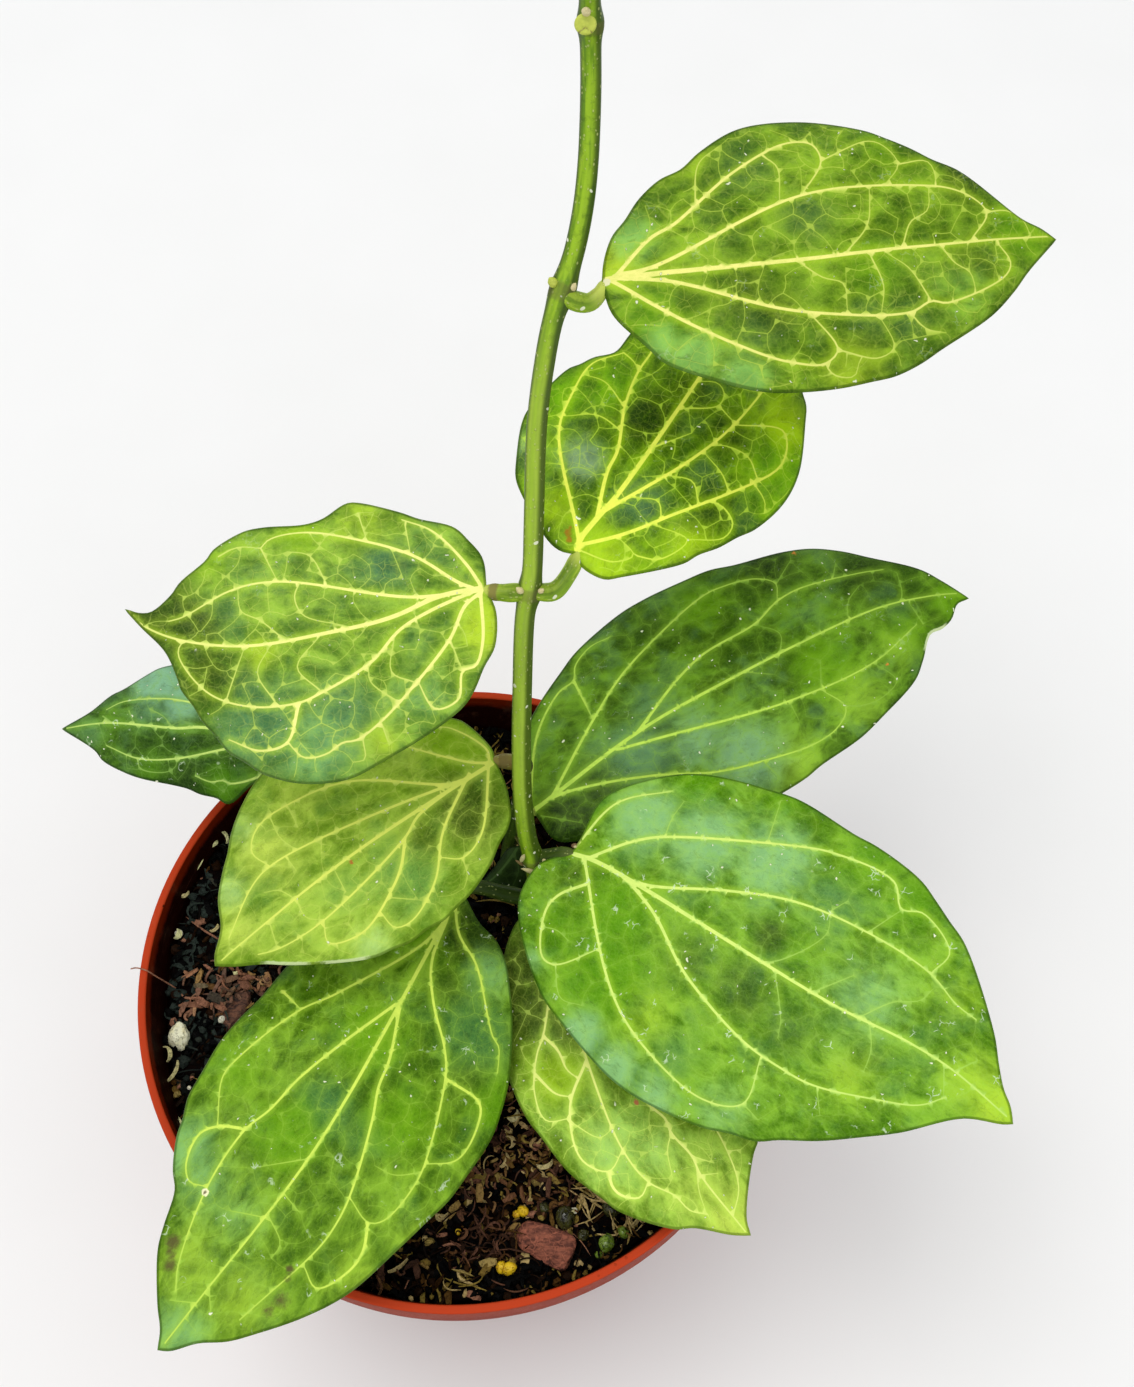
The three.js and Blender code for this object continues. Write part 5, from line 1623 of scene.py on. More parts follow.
def add_stalk(piece, leaf):
    """The leaf's stalk, from inside its stem to where it runs out under the blade."""
    base, along, across, up, length = leaf_axes(leaf)
    under = [*STALK_UNDER, *((share * length, depth) for share, depth in STALK_RUNOUT)]
    spots = np.array([(u, 0) for u, depth in under])
    depths = np.array([depth for u, depth in under])
    points = [*leaf["stalk"], *on_blade(leaf, spots, depths)]
    stalk = leaf["stalk_radius"]
    runout = STALK_RUNOUT[-1][0] * length

    def radius_at(share, centres):
        """The stalk's radius: a swollen foot, a collar at the blade's base and a thin end under the blade."""
        past = (centres - base) @ along
        radius = stalk + (STALK_THIN_RADIUS - stalk) * ramp(past, -2.5, 3.5) - 0.35 * ramp(past, 5, runout)
        collar = leaf["collar"] * COLLAR_HEIGHT * np.exp(-((past - COLLAR_PLACE) / 0.7) ** 2)
        return radius * (1 + 0.16 * np.exp(-((share - 0.12) / 0.07) ** 2)) + collar

    corners, faces, places, centres = tube(points, radius_at, STALK_SIDES, STALK_STEP, ridges=0.02)
    past = (centres - base) @ along
    node = 0.7 * np.exp(-(places[:, 1] / 2.0) ** 2)
    node = np.maximum(node, leaf["collar"] * np.exp(-((past - COLLAR_PLACE) / 1.1) ** 2))
    piece.add(
        corners, faces, 2, stem_place=places, node_tint=node, blade_end=ramp(past, -3, 0.5),
        stalk_dark=np.full(len(corners), leaf["stalk_dark"]),
        stalk_brown=np.full(len(corners), leaf["stalk_brown"]),
    )


def make_leaf(leaf, seed, stalk_material):
    """One leaf, its blade and its stalk in one piece, in place of its CAD node."""
    piece = Piece()
    add_blade(piece, leaf, seed)
    add_stalk(piece, leaf)
    made = piece.make(leaf["name"] + "_blade", [blade_top(leaf), blade_under(leaf), stalk_material])
    return place_piece(made, leaf["name"], leaf["name"])


# Stems
STEM_SIDES = 32
STEM_STEP = 0.7
# The main stem is pale between these heights: it starts and is full, starts to fade and ends
PALE_FROM = (140, 165)
PALE_TO = (232, 258)


def stem_radius(foot, top, node_heights):
    """A radius for tube: from foot to top, with a swelling at each node."""
    def radius_at(share, centres):
        radius = foot + (top - foot) * share
        for height in node_heights:
            radius = radius + NODE_SWELL * np.exp(-((centres[:, 2] - height) / NODE_SWELL_LENGTH) ** 2)
        return radius
    return radius_at


def add_stem(piece, points, radius_at, node_heights):
    """A round stem, with its nodes tinted and its pale stretch."""
    corners, faces, places, centres = tube(points, radius_at, STEM_SIDES, STEM_STEP, ridges=0.018)
    node = np.zeros(len(corners))
    for height in node_heights:
        node = np.maximum(node, np.exp(-((centres[:, 2] - height) / 1.5) ** 2))
    pale = ramp(centres[:, 2], *PALE_TO[::-1]) * ramp(centres[:, 2], *PALE_FROM)
    piece.add(corners, faces, 0, stem_place=places, node_tint=node, stem_pale=pale)


def ring(radius, steps):
    """Points round a circle, as (x, y)."""
    angles = [2 * math.pi * j / steps for j in range(steps)]
    return [(radius * math.cos(angle), radius * math.sin(angle)) for angle in angles]


def ball(rows, columns):
    """A unit ball's corners and faces."""
    corners = [(0, 0, 1)]
    for i in range(1, rows):
        slope = math.pi * i / rows
        corners.extend((x, y, math.cos(slope)) for x, y in ring(math.sin(slope), columns))
    corners.append((0, 0, -1))
    faces = [(0, 1 + j, 1 + (j + 1) % columns) for j in range(columns)]
    for i in range(rows - 2):
        for j in range(columns):
            a, b = 1 + i * columns + j, 1 + i * columns + (j + 1) % columns
            faces.append((a, a + columns, b + columns, b))
    last = len(corners) - 1
    for j in range(columns):
        faces.append((last, last - columns + (j + 1) % columns, last - columns + j))
    return np.array(corners, float), faces


def add_bud(piece, at, size, turn, tint, seed, point=0.0):
    """A bud or scale: a lumpy ball, drawn out to a point by the share given."""
    corners, faces = ball(14, 20)
    lift = np.clip(corners[:, 2], 0, 1)
    corners[:, :2] *= (1 - point * lift ** 2)[:, None]
    corners[:, 2] += point * 0.5 * lift ** 3
    corners *= (1 + 0.1 * rough(corners, 0.5, seed))[:, None]
    corners = turned(corners * size, turn) + at
    tints = np.full(len(corners), tint)
    piece.add(corners, faces, 1, stem_place=corners, node_tint=np.zeros(len(corners)), bud_tint=tints)


def bud_finish():
    """Buds and leaf scars: cream, yellow-green or brown by the value that each carries."""
    look = Finish("bud", Roughness=0.55)
    place = look.place()
    tint = look.value("bud_tint")
    cream = look.mix(look.noise(place, 0.5), shade(236, 226, 176), shade(196, 178, 120))
    scar = look.mix(look.noise(place, 0.9), shade(214, 220, 92), shade(168, 186, 60))
    brown = look.mix(look.noise(place, 0.7), shade(96, 70, 44), shade(150, 118, 84))
    color = look.mix(look.ramp(tint, 0.25, 0.5), cream, scar)
    color = look.mix(look.ramp(tint, 0.6, 0.9), color, brown)
    return look.finish(color, 0.55, look.noise(place, 0.4), depth=0.15)


CREAM, SCAR, BROWN = 0.0, 0.5, 1.0
STEM_BUDS = [
    {"at": (26.0, 98.5, 290.6), "size": (0.75, 0.7, 0.9), "turn": (0.4, 0, 0), "tint": CREAM},
    {"at": (20.6, 75.3, 254.2), "size": (0.85, 0.8, 1.15), "turn": (0, -0.4, 0), "tint": 0.62},
    {"at": (23.9, 75.0, 253.3), "size": (0.75, 0.7, 0.95), "turn": (0, 0.5, 0), "tint": CREAM},
    {"at": (14.3, 44.2, 205.2), "size": (0.65, 0.65, 0.95), "turn": (0, -0.6, 0), "tint": CREAM},
    {"at": (18.2, 44.3, 204.9), "size": (0.55, 0.5, 0.7), "turn": (0, 0.7, 0), "tint": CREAM},
    {"at": (13.8, 15.6, 145.2), "size": (0.5, 0.4, 1.9), "turn": (0, 0.2, 0), "tint": 0.25},
    {"at": (15.4, 14.6, 140.6), "size": (0.6, 0.5, 2.0), "turn": (0, -0.9, 0), "tint": 0.3},
    {"at": (13.2, 16.0, 141.6), "size": (0.35, 0.35, 1.6), "turn": (0, -0.5, 0), "tint": 0.85},
    {"at": (18.3, 15.9, 143.3), "size": (0.5, 0.45, 0.5), "turn": (0, 0.6, 0), "tint": 0.3},
    {"at": (24.6, 17.6, 147.2), "size": (0.7, 0.55, 0.5), "turn": (0, 0, 0), "tint": BROWN},
    {"at": (24.7, 17.2, 147.6), "size": (0.35, 0.3, 0.35), "turn": (0, 0, 0), "tint": CREAM},
]
SCAR_PLACE = (25.9, 98.1, 288.5)
SCAR_TURN = (1.02, 0, 0)
SCAR_PROFILE = [
    (0, 0.42), (0.35, 0.4), (0.62, 0.28), (0.95, 0.3), (1.35, 0.42), (1.62, 0.34), (1.78, 0), (1.6, -0.8),
]
SCAR_NOTCH = 0.16
SHOOT_BUD = {"size": (1.2, 1.2, 1.5), "turn": (0, 0, 0), "tint": 0.75, "seed": 21, "point": 0.4}
BUD_POINT = 0.45


def lathe(profile, steps, centre=(0, 0, 0)):
    """Turns a profile of (radius, height) about Z. A radius of 0 gives one shared corner."""
    corners, rows = [], []
    for radius, height in profile:
        if radius <= 1e-6:
            rows.append([len(corners)] * steps)
            corners.append((0, 0, height))
            continue
        rows.append(list(range(len(corners), len(corners) + steps)))
        corners.extend((x, y, height) for x, y in ring(radius, steps))
    return np.array(corners, float) + centre, bands(rows, first=1)


def add_leaf_scar(piece):
    """The round scar near the top of the main stem, with its curved notch."""
    corners, faces = lathe(SCAR_PROFILE, 28)
    notch = np.exp(-((abs(corners[:, 0]) * 0.8 + corners[:, 1] + 0.45) / 0.16) ** 2) * (corners[:, 1] < 0.1)
    corners[:, 2] -= SCAR_NOTCH * notch * (corners[:, 2] > 0)
    corners = turned(corners * (1, 0.95, 1), SCAR_TURN) + SCAR_PLACE
    tint = SCAR + 0.35 * notch
    piece.add(corners, faces[::-1], 1, stem_place=corners, node_tint=np.zeros(len(corners)), bud_tint=tint)


def make_stems():
    """The main stem with its buds and scar, and the two short shoots."""
    stem_color = stalk_finish("stem_skin", (146, 182, 40), (98, 138, 22), (104, 100, 58), cork_share=0.45)
    shoot_color = stalk_finish("shoot_skin", (92, 120, 44), (58, 84, 30), (88, 76, 52))
    buds = bud_finish()
    main = Piece()
    radius_at = stem_radius(STEM_FOOT_RADIUS, STEM_TOP_RADIUS, STEM_NODE_HEIGHTS)
    add_stem(main, MAIN_STEM, radius_at, STEM_NODE_HEIGHTS)
    for number, bud in enumerate(STEM_BUDS):
        add_bud(main, **bud, seed=number + 1, point=BUD_POINT)
    add_leaf_scar(main)
    place_piece(main.make("main_stem_skin", [stem_color, buds]), "stem", "main_stem")

    for node, points in (("rear_shoot", REAR_SHOOT), ("side_shoot", SIDE_SHOOT)):
        shoot = Piece()
        heights = [points[-1][2] - 2]
        add_stem(shoot, points, stem_radius(SHOOT_RADIUS, SHOOT_RADIUS * 0.9, heights), heights)
        add_bud(shoot, points[-1], **SHOOT_BUD)
        place_piece(shoot.make(node + "_skin", [shoot_color, buds]), "shoot", node)


# Pot
STEP_HEIGHT = POT_HEIGHT - BAND_HEIGHT
LIP_RADIUS = 0.55
LIP_INNER_RADIUS = 0.5
FOOT_ROUND = 1.4
ARC_STEPS = 6
DRILL_TOP = 8
DRILL_FOOT = -3
POT_CREASE = 40


def pot_outer_radius(z):
    """The wall's outside, under the band."""
    return BASE_RADIUS + (RIM_RADIUS - BAND_STEP - BASE_RADIUS) * z / STEP_HEIGHT


def pot_inner_radius(z):
    """The wall's inside, which flares out within the band."""
    step_radius = pot_outer_radius(STEP_HEIGHT) - POT_WALL
    share = (z - STEP_HEIGHT) / BAND_HEIGHT
    if share > 0:
        return step_radius + (RIM_INNER_RADIUS - step_radius) * share
    return pot_outer_radius(z) - POT_WALL


def arc(centre, radius, start, end, steps):
    """Points of a round stretch of a profile, with angles in degrees."""
    angles = np.radians(np.linspace(start, end, steps + 1))
    return [(centre[0] + radius * math.cos(a), centre[1] + radius * math.sin(a)) for a in angles]


def pot_finish():
    """Plastic with scuffs, dust and specks; a lip painted lighter than the wall, and painted shade inside
    above the mix that darkens the wall to nearly black.
    """
    look = Finish("pot_plastic", IOR=1.3, Specular_IOR_Level=0.05)
    place = look.place()
    within = look.value("within")
    lip = look.value("lip")
    cloud = look.noise(place, 17, detail=4)
    grain = look.noise(place, 0.8, detail=3, rough=0.7)
    color = look.mix(look.ramp(cloud, 0.35, 0.7), shade(138, 44, 20), shade(154, 55, 27))
    # The lip is painted a lighter orange than the wall's darker red: painted light on the rim's top against
    # painted shade on its side.
    color = look.cover(color, shade(200, 72, 42), lip, 0.9)
    # Painted shade: the inside of the wall darker, and nearly black from a few millimetres below the rim.
    color = look.cover(color, shade(112, 38, 20), within, look.ramp(lip, 0.9, 0.3))
    uneven = look.times(look.noise(place, 4, detail=4), 0.5)
    hollow_shade = look.ramp(look.plus(look.value("depth"), uneven), 0.4, 0.8)
    color = look.cover(color, shade(24, 14, 9), hollow_shade, 0.93)
    scuffs = look.noise(look.place((0.12, 0.12, 3.0)), 1.6, detail=4, rough=0.7)
    scuffs = look.ramp(scuffs, 0.6, 0.74)
    color = look.cover(color, shade(216, 146, 116), scuffs, 0.16)
    dust = look.ramp(look.noise(place, 6, detail=5, rough=0.7), 0.56, 0.72)
    color = look.cover(color, shade(150, 104, 82), dust, 0.14)
    specks = look.ramp(look.cells(place, 2.3), 0.17, 0.1)
    specks = look.times(specks, look.ramp(look.noise(place, 9), 0.48, 0.6))
    color = look.cover(color, shade(52, 34, 24), specks, look.plus(0.25, look.times(within, 0.6)))
    roughness = look.plus(look.ramp(grain, 0.3, 0.7, 0.4, 0.52), look.times(dust, 0.15))
    height = look.plus(look.times(grain, 0.4), look.times(scuffs, -0.3))
    return look.finish(color, roughness, look.plus(height, look.times(specks, 0.6)), depth=0.12)


def pot_profile():
    """The pot's wall in section, from the middle of its foot up, over the lip and down to the floor."""
    band_low, band_high = STEP_HEIGHT + 1.6, BAND_HEIGHT - 2.4
    lip_z, lip_inner_z = POT_HEIGHT - LIP_RADIUS, POT_HEIGHT - LIP_INNER_RADIUS
    return [
        (0, 0),
        *arc((BASE_RADIUS - FOOT_ROUND, FOOT_ROUND), FOOT_ROUND, -90, -10, ARC_STEPS),
        *((pot_outer_radius(z), z) for z in np.linspace(3, STEP_HEIGHT, 24)),
        *arc((RIM_RADIUS - 1.5, STEP_HEIGHT + 1.1), 0.8, -100, 0, ARC_STEPS),
        *((RIM_RADIUS - 0.7 + 0.7 * share, band_low + share * band_high) for share in (0, 0.5, 1)),
        *arc((RIM_RADIUS - LIP_RADIUS, lip_z), LIP_RADIUS, 0, 90, ARC_STEPS),
        *arc((RIM_INNER_RADIUS + LIP_INNER_RADIUS, lip_inner_z), LIP_INNER_RADIUS, 90, 180, ARC_STEPS),
        *((pot_inner_radius(z), z) for z in np.linspace(POT_HEIGHT - 1.2, FLOOR_THICKNESS + 1, 30)),
        (pot_inner_radius(FLOOR_THICKNESS) - 1, FLOOR_THICKNESS),
        (0, FLOOR_THICKNESS),
    ]


def drill(pot):
    """Cuts the drain holes through the pot's floor."""
    holes = Piece()
    profile = [(0, DRILL_TOP), (DRAIN_RADIUS, DRILL_TOP), (DRAIN_RADIUS, DRILL_FOOT), (0, DRILL_FOOT)]
    for x, y in ring(DRAIN_CIRCLE, DRAIN_HOLES):
        holes.add(*lathe(profile, 32, (x, y, 0)))
    cutter = holes.make("drain_holes", [])
    cut = pot.modifiers.new("drain", "BOOLEAN")
    cut.operation = "DIFFERENCE"
    cut.solver = "EXACT"
    cut.object = cutter
    bpy.context.view_layer.update()
    graph = bpy.context.evaluated_depsgraph_get()
    pot.data = bpy.data.meshes.new_from_object(pot.evaluated_get(graph))
    pot.modifiers.clear()
    bpy.data.objects.remove(cutter)


def make_pot():
    """The pot's thin shell, a little out of round at its rim."""
    corners, faces = lathe(pot_profile()[::-1], POT_STEPS)
    x, y, z = corners.T.copy()
    radius = np.hypot(x, y)
    skin = np.array([pot_outer_radius(min(height, STEP_HEIGHT)) for height in z])
    within = (z > 1) & (radius < np.where(z > STEP_HEIGHT, RIM_INNER_RADIUS + 0.2, skin - 0.9))
    lip = ramp(z, POT_HEIGHT - 0.75, POT_HEIGHT - 0.1)
    depth = within * ramp(POT_HEIGHT - z, 0.5, 7)
    out_of_round = 0.12 * np.sin(3 * np.arctan2(y, x) + 0.4)
    corners[:, :2] *= (1 + out_of_round * ramp(z, 60, POT_HEIGHT) / RIM_RADIUS)[:, None]
    shell = Piece()
    shell.add(corners, faces, 0, within=within.astype(float), lip=lip, depth=depth)
    pot = shell.make("pot_shell", [pot_finish()])
    drill(pot)
    smooth_below(pot, POT_CREASE)
    return place_piece(pot, "pot", "pot")


def smooth_below(piece, degrees):
    """Smooth shading, with a crease wherever two faces meet at more than that angle."""
    mesh = piece.data
    mesh.polygons.foreach_set("use_smooth", [True] * len(mesh.polygons))
    mesh.set_sharp_from_angle(angle=math.radians(degrees))


# Potting mix
def mix_height(x, y):
    """How high the mix lies at a place: a low swell at the stem, lumps, and banks at the back and left."""
    level = POT_HEIGHT - MIX_DEPTH_BELOW_RIM
    swell = 1.6 * np.exp(-((x - 8) ** 2 + (y - 8) ** 2) / 900)
    lumps = np.sin(0.31 * x + 0.6) * np.cos(0.27 * y + 0.4)
    crumbs = np.sin(0.83 * x - 0.51 * y + 1.3) * np.cos(0.74 * y + 0.35 * x)
    bank = 2.6 * ramp(0.8 * y - 0.6 * x, 40, 60) + 2.2 * ramp(-x, 42, 62)
    return level + swell + 0.9 * lumps + 0.5 * crumbs + bank


def mix_finish():
    """Dark, damp mix, nearly black, for what shows between the grains: its own dark colour and painted shade
    in the gaps.
    """
    look = Finish("potting_mix_bed", Roughness=0.95, Specular_IOR_Level=0.05)
    place = look.place()
    clumps = look.noise(place, 3.2, detail=5, rough=0.7)
    fine = look.noise(place, 0.7, detail=3, rough=0.7)
    color = look.mix(look.ramp(clumps, 0.4, 0.72), shade(8, 6, 5), shade(30, 21, 15))
    color = look.cover(color, shade(66, 46, 30), look.ramp(fine, 0.6, 0.8), 0.4)
    height = look.plus(clumps, look.times(fine, 0.5))
    return look.finish(color, look.ramp(fine, 0.3, 0.8, 0.75, 1.0), height, depth=0.8)


def grain_finish():
    """Crumbs, shreds and fibres, from black to tan by the values that each carries."""
    look = Finish("mix_grain", Roughness=0.6, Specular_IOR_Level=0.07)
    place = look.place()
    tint = look.value("grain_tint")
    streaks = look.noise(place, 0.55, detail=4, rough=0.7)
    color = look.mix(look.ramp(tint, 0.15, 0.45), shade(8, 6, 4), shade(44, 29, 17))
    color = look.mix(look.ramp(tint, 0.45, 0.64), color, shade(104, 72, 38))
    color = look.mix(look.ramp(tint, 0.64, 0.8), color, shade(162, 138, 66))
    color = look.mix(look.ramp(tint, 0.86, 0.97), color, shade(226, 196, 132))
    color = look.cover(color, shade(62, 72, 66), look.value("grain_cool"), 0.8)
    color = look.cover(color, shade(192, 134, 106), look.value("grain_rust"), 0.85)
    color = look.cover(color, shade(232, 230, 170, 0.7), look.value("grain_pale"), 0.95)
    color = look.cover(color, shade(14, 10, 7), look.ramp(streaks, 0.42, 0.7), 0.6)
    return look.finish(color, look.ramp(streaks, 0.3, 0.7, 0.35, 0.75), streaks, depth=0.3)


FLAKE_CORNERS = [(-0.5, -0.3), (-0.1, -0.5), (0.45, -0.35), (0.5, 0.25), (0.05, 0.5), (-0.45, 0.3)]


def flake(random, length, width, thick):
    """A torn shred of bark: six uneven corners, thin, and a little bent."""
    rim = np.array(FLAKE_CORNERS) * (1 + random.uniform(-0.22, 0.22, (6, 2))) * (length, width)
    bend = 0.08 * length * np.cos(2.4 * rim[:, 0] / length)
    top = np.column_stack([rim * 0.86, bend + thick / 2])
    low = np.column_stack([rim, bend - thick / 2])
    faces = [(0, 1, 2), (0, 2, 3), (0, 3, 4), (0, 4, 5), (6, 8, 7), (6, 9, 8), (6, 10, 9), (6, 11, 10)]
    faces += [(i + 6, (i + 1) % 6 + 6, (i + 1) % 6, i) for i in range(6)]
    return np.vstack([top, low]), faces


CRUMB_CORNERS, CRUMB_FACES = ball(4, 6)


def crumb(random, size):
    """An uneven lump of mix."""
    corners = CRUMB_CORNERS * (1 + random.uniform(-0.28, 0.28, (len(CRUMB_CORNERS), 1)))
    return corners * size * random.uniform(0.65, 1.2, 3), CRUMB_FACES


def bar(centres, ups, sides, widths, thicks):
    """A closed four-sided strip along its centres."""
    corners = []
    for centre, up, side, width, thick in zip(centres, ups, sides, widths, thicks):
        for a, b in ((1, 1), (-1, 1), (-1, -1), (1, -1)):
            corners.append(centre + 0.5 * (a * width * side + b * thick * up))
    faces = [(3, 2, 1, 0), tuple(len(corners) - 4 + i for i in range(4))]
    for i in range(len(centres) - 1):
        for j in range(4):
            a, b = 4 * i + j, 4 * i + (j + 1) % 4
            faces.append((a, b, b + 4, a + 4))
    return np.array(corners), faces


def shaving(random, length, width):
    """A curled strip of bark, drawn in at both ends."""
    turn = random.uniform(0.6, 3.6)
    angles = np.linspace(-turn / 2, turn / 2, 8)
    radius = length / turn
    centres = radius * np.column_stack([np.sin(angles), 0 * angles, np.cos(angles) - 1])
    ups = np.column_stack([np.sin(angles), 0 * angles, np.cos(angles)])
    sides = np.tile((0.0, 1.0, 0.0), (8, 1))
    widths = width * (0.3 + 0.7 * np.sin(np.linspace(0.35, 2.9, 8))) * random.uniform(0.8, 1.2, 8)
    return bar(centres, ups, sides, widths, np.full(8, random.uniform(0.16, 0.34)))


def curl(random, length, width):
    """A thin shred curled up in its own plane, drawn in at both ends."""
    steps = 10
    turn = random.uniform(1.2, 4.2) * random.choice((-1, 1))
    share = np.linspace(-0.5, 0.5, steps)
    angles = turn * (share + random.uniform(1.2, 2.0) * share ** 2)
    step = length / (steps - 1)
    heading = np.column_stack([np.cos(angles), np.sin(angles), np.zeros(steps)])
    centres = np.cumsum(heading * step, axis=0)
    centres -= centres.mean(axis=0)
    centres[:, 2] = 0.1 * length * np.sin(np.linspace(0, math.pi, steps) * random.uniform(0.6, 1.6))
    sides = np.column_stack([-heading[:, 1], heading[:, 0], np.zeros(steps)])
    widths = width * (0.25 + 0.75 * np.sin(np.linspace(0.3, 2.9, steps)))
    return bar(centres, np.tile((0.0, 0.0, 1.0), (steps, 1)), sides, widths, np.full(steps, 0.45 * width))


def fibre(random, length, radius):
    """A thin, curled root or fibre that tapers to both ends."""
    stops = np.linspace(-0.5, 0.5, 8)
    swing, lift = random.uniform(-0.9, 0.9, 2)
    bow, rise = 0.25 * swing * np.cos(2.6 * stops), 0.1 * lift * np.sin(3 * stops)
    centres = length * np.column_stack([stops, bow, rise])
    size = 2 * radius * (1 - 0.9 * abs(2 * stops) ** 3)
    return bar(centres, np.tile((0.0, 0.0, 1.0), (8, 1)), np.tile((0.0, 1.0, 0.0), (8, 1)), size, size)


GRAIN_REACH = 66.2
GRAIN_KINDS = [
    {"kind": "crumb", "count": 3300, "size": (0.45, 1.4), "lift": 0.25},
    {"kind": "flake", "count": 2300, "size": (1.8, 5.0), "lift": 0.6},
    {"kind": "shaving", "count": 1300, "size": (2.4, 6.5), "lift": 1.0},
    {"kind": "curl", "count": 1150, "size": (3.0, 9.0), "lift": 1.3},
    {"kind": "fibre", "count": 600, "size": (5, 14), "lift": 1.4},
]
GRAIN_SEED = 41
WALL_CLEARANCE = 0.8
STEM_FEET = [points[0][:2] for points in (MAIN_STEM, REAR_SHOOT, SIDE_SHOOT)]
STEM_CLEARANCE = 2.6
# Where grains of one look lie together: each one's colour value is drawn between the two given
CLUSTER_LIFT = (0.6, 2.4)
CLUSTERS = [
    {"at": (-53, 0), "reach": 3.4, "count": 64, "kinds": ("flake", "shaving", "curl"), "size": (1.5, 5),
     "grain_tint": (0.1, 1), "grain_rust": (0.1, 1)},
    {"at": (-46, 2), "reach": 2.2, "count": 18, "kinds": ("flake", "curl"), "size": (1.5, 4),
     "grain_tint": (0.3, 1), "grain_rust": (0.3, 1)},
    {"at": (-59.5, -4), "reach": 1.4, "count": 9, "kinds": ("shaving", "curl"), "size": (3, 6),
     "grain_tint": (0.3, 1), "grain_rust": (0.5, 1)},
    {"at": (12, -34), "reach": 5.5, "count": 130, "kinds": ("curl", "flake", "curl"), "size": (1.2, 4.2),
     "grain_tint": (0.12, 0.95), "grain_rust": (0, 0.5)},
    {"at": (21, -41), "reach": 4.5, "count": 80, "kinds": ("curl", "fibre", "flake"), "size": (1.2, 4.4),
     "grain_tint": (0.15, 1), "grain_rust": (0, 0.3)},
    {"at": (0, -43), "reach": 5, "count": 46, "kinds": ("curl", "flake", "shaving"), "size": (1.5, 4.5),
     "grain_tint": (0.1, 0.9), "grain_rust": (0, 0.4)},
    {"at": (6, -53), "reach": 4, "count": 70, "kinds": ("curl", "fibre"), "size": (2.5, 6),
     "grain_tint": (0.2, 0.6), "grain_rust": (0, 0.4)},
    {"at": (28.7, -45.5), "reach": 1.8, "count": 16, "kinds": ("fibre",), "size": (4, 8),
     "grain_tint": (0.9, 1), "grain_rust": (0, 0)},
    {"at": (36, -49.5), "reach": 1.6, "count": 12, "kinds": ("fibre",), "size": (3, 7),
     "grain_tint": (0.9, 1), "grain_rust": (0, 0)},
    {"at": (2, -62), "reach": 2.2, "count": 5, "kinds": ("fibre", "curl"), "size": (5, 9),
     "grain_tint": (0.8, 0.95), "grain_rust": (0, 0)},
    {"at": (-15, -57), "reach": 3.5, "count": 20, "kinds": ("curl", "flake"), "size": (2, 5),
     "grain_tint": (0.15, 0.9), "grain_rust": (0, 0.3)},
]
# Single shreds: (x, y, turn, length, width, how pale and green rather than tan)
SHRED_TILT = 0.9
SHRED_LIFT = 2.2
LONE_SHREDS = [
    (-60.5, 30, 1.3, 6, 1.3, 1), (-58.4, 33.6, 0.4, 5, 1.2, 1), (-55.8, 36.8, 2.4, 5.5, 1.2, 1),
    (-63.4, -14.2, 1.9, 5, 0.9, 0.6), (-61.8, -18.6, 1.2, 5.5, 0.8, 0.5), (-59.8, -29.6, 2.1, 4.2, 1.4, 1),
    (-56, 14, 0.8, 3.2, 0.7, 0.3), (-50.9, 4, 0.2, 1.8, 1, 1), (-63.9, 12.6, 1.4, 3.4, 1.6, 1),
    (-63.6, 21, 0.3, 4, 0.9, 0.4), (-3, -49.1, 0.1, 5.4, 1.9, 0.1), (-11.8, -59.2, 0.6, 5, 1, 0.1),
    (23.6, -48.5, 0.4, 3, 1, 0.7), (37.6, -50, 0.9, 4, 0.9, 0.1), (12, -28, 0.7, 4.5, 1.6, 0.6),
    (11.5, -33, 1.9, 4.2, 1.5, 0.1), (10.2, -37.4, 1.2, 4, 1.3, 0.1), (18.5, -38.7, 0.3, 5, 1.1, 0.3),
]
# A root hair that hangs over the pot's rim
ROOT_HAIR_RADIUS = 0.16
ROOT_HAIR = [(-72, 1.9, 115.4), (-70.6, 1.8, 116.3), (-68.4, 1.2, 116.3), (-66.6, 0.6, 114), (-63.5, 0, 108)]


def make_grain(random, kind, size):
    """One grain of that kind, lying at the origin."""
    if kind == "crumb":
        return crumb(random, size)
    if kind == "flake":
        return flake(random, size, size * random.uniform(0.22, 0.5), random.uniform(0.25, 0.7))
    if kind == "shaving":
        return shaving(random, size, size * random.uniform(0.14, 0.3))
    if kind == "curl":
        return curl(random, size, random.uniform(0.25, 0.7))
    return fibre(random, size, random.uniform(0.1, 0.22))


def grain_values(random, x, y, count):
    """A grain's colour by where it lies: browner and more olive in front, greyer at the left."""
    front = float(ramp(-y, 12, 26)) * (1 - 0.55 * float(ramp(-y, 46, 58)))
    left = float(ramp(-x, 35, 52)) * (1 - front)
    tint = random.random() ** (3.2 - 1.5 * front) * (1 - 0.4 * left)
    cool = left * (random.random() < 0.5)
    rust = float(random.random() < 0.02)
    values = {"grain_tint": tint, "grain_cool": cool, "grain_rust": rust, "grain_pale": 0}
    return {name: np.full(count, float(value)) for name, value in values.items()}


def lay_grain(random, piece, x, y, corners, faces, lift, **values):
    """Turns a grain about and lays it on the mix, clear of the pot's wall and of the stems."""
    turn = (random.uniform(-0.5, 0.5), random.uniform(-0.5, 0.5), random.uniform(0, 2 * math.pi))
    corners = turned(corners, turn)
    out = math.hypot(x, y) + np.hypot(corners[:, 0], corners[:, 1]).max() - GRAIN_REACH - WALL_CLEARANCE
    if out > 0:
        x, y = x * (1 - out / math.hypot(x, y)), y * (1 - out / math.hypot(x, y))
    if any(math.hypot(x - a, y - b) < STEM_CLEARANCE for a, b in STEM_FEET):
        return
    piece.add(corners + (x, y, mix_height(x, y) + lift), faces, 0, **values)


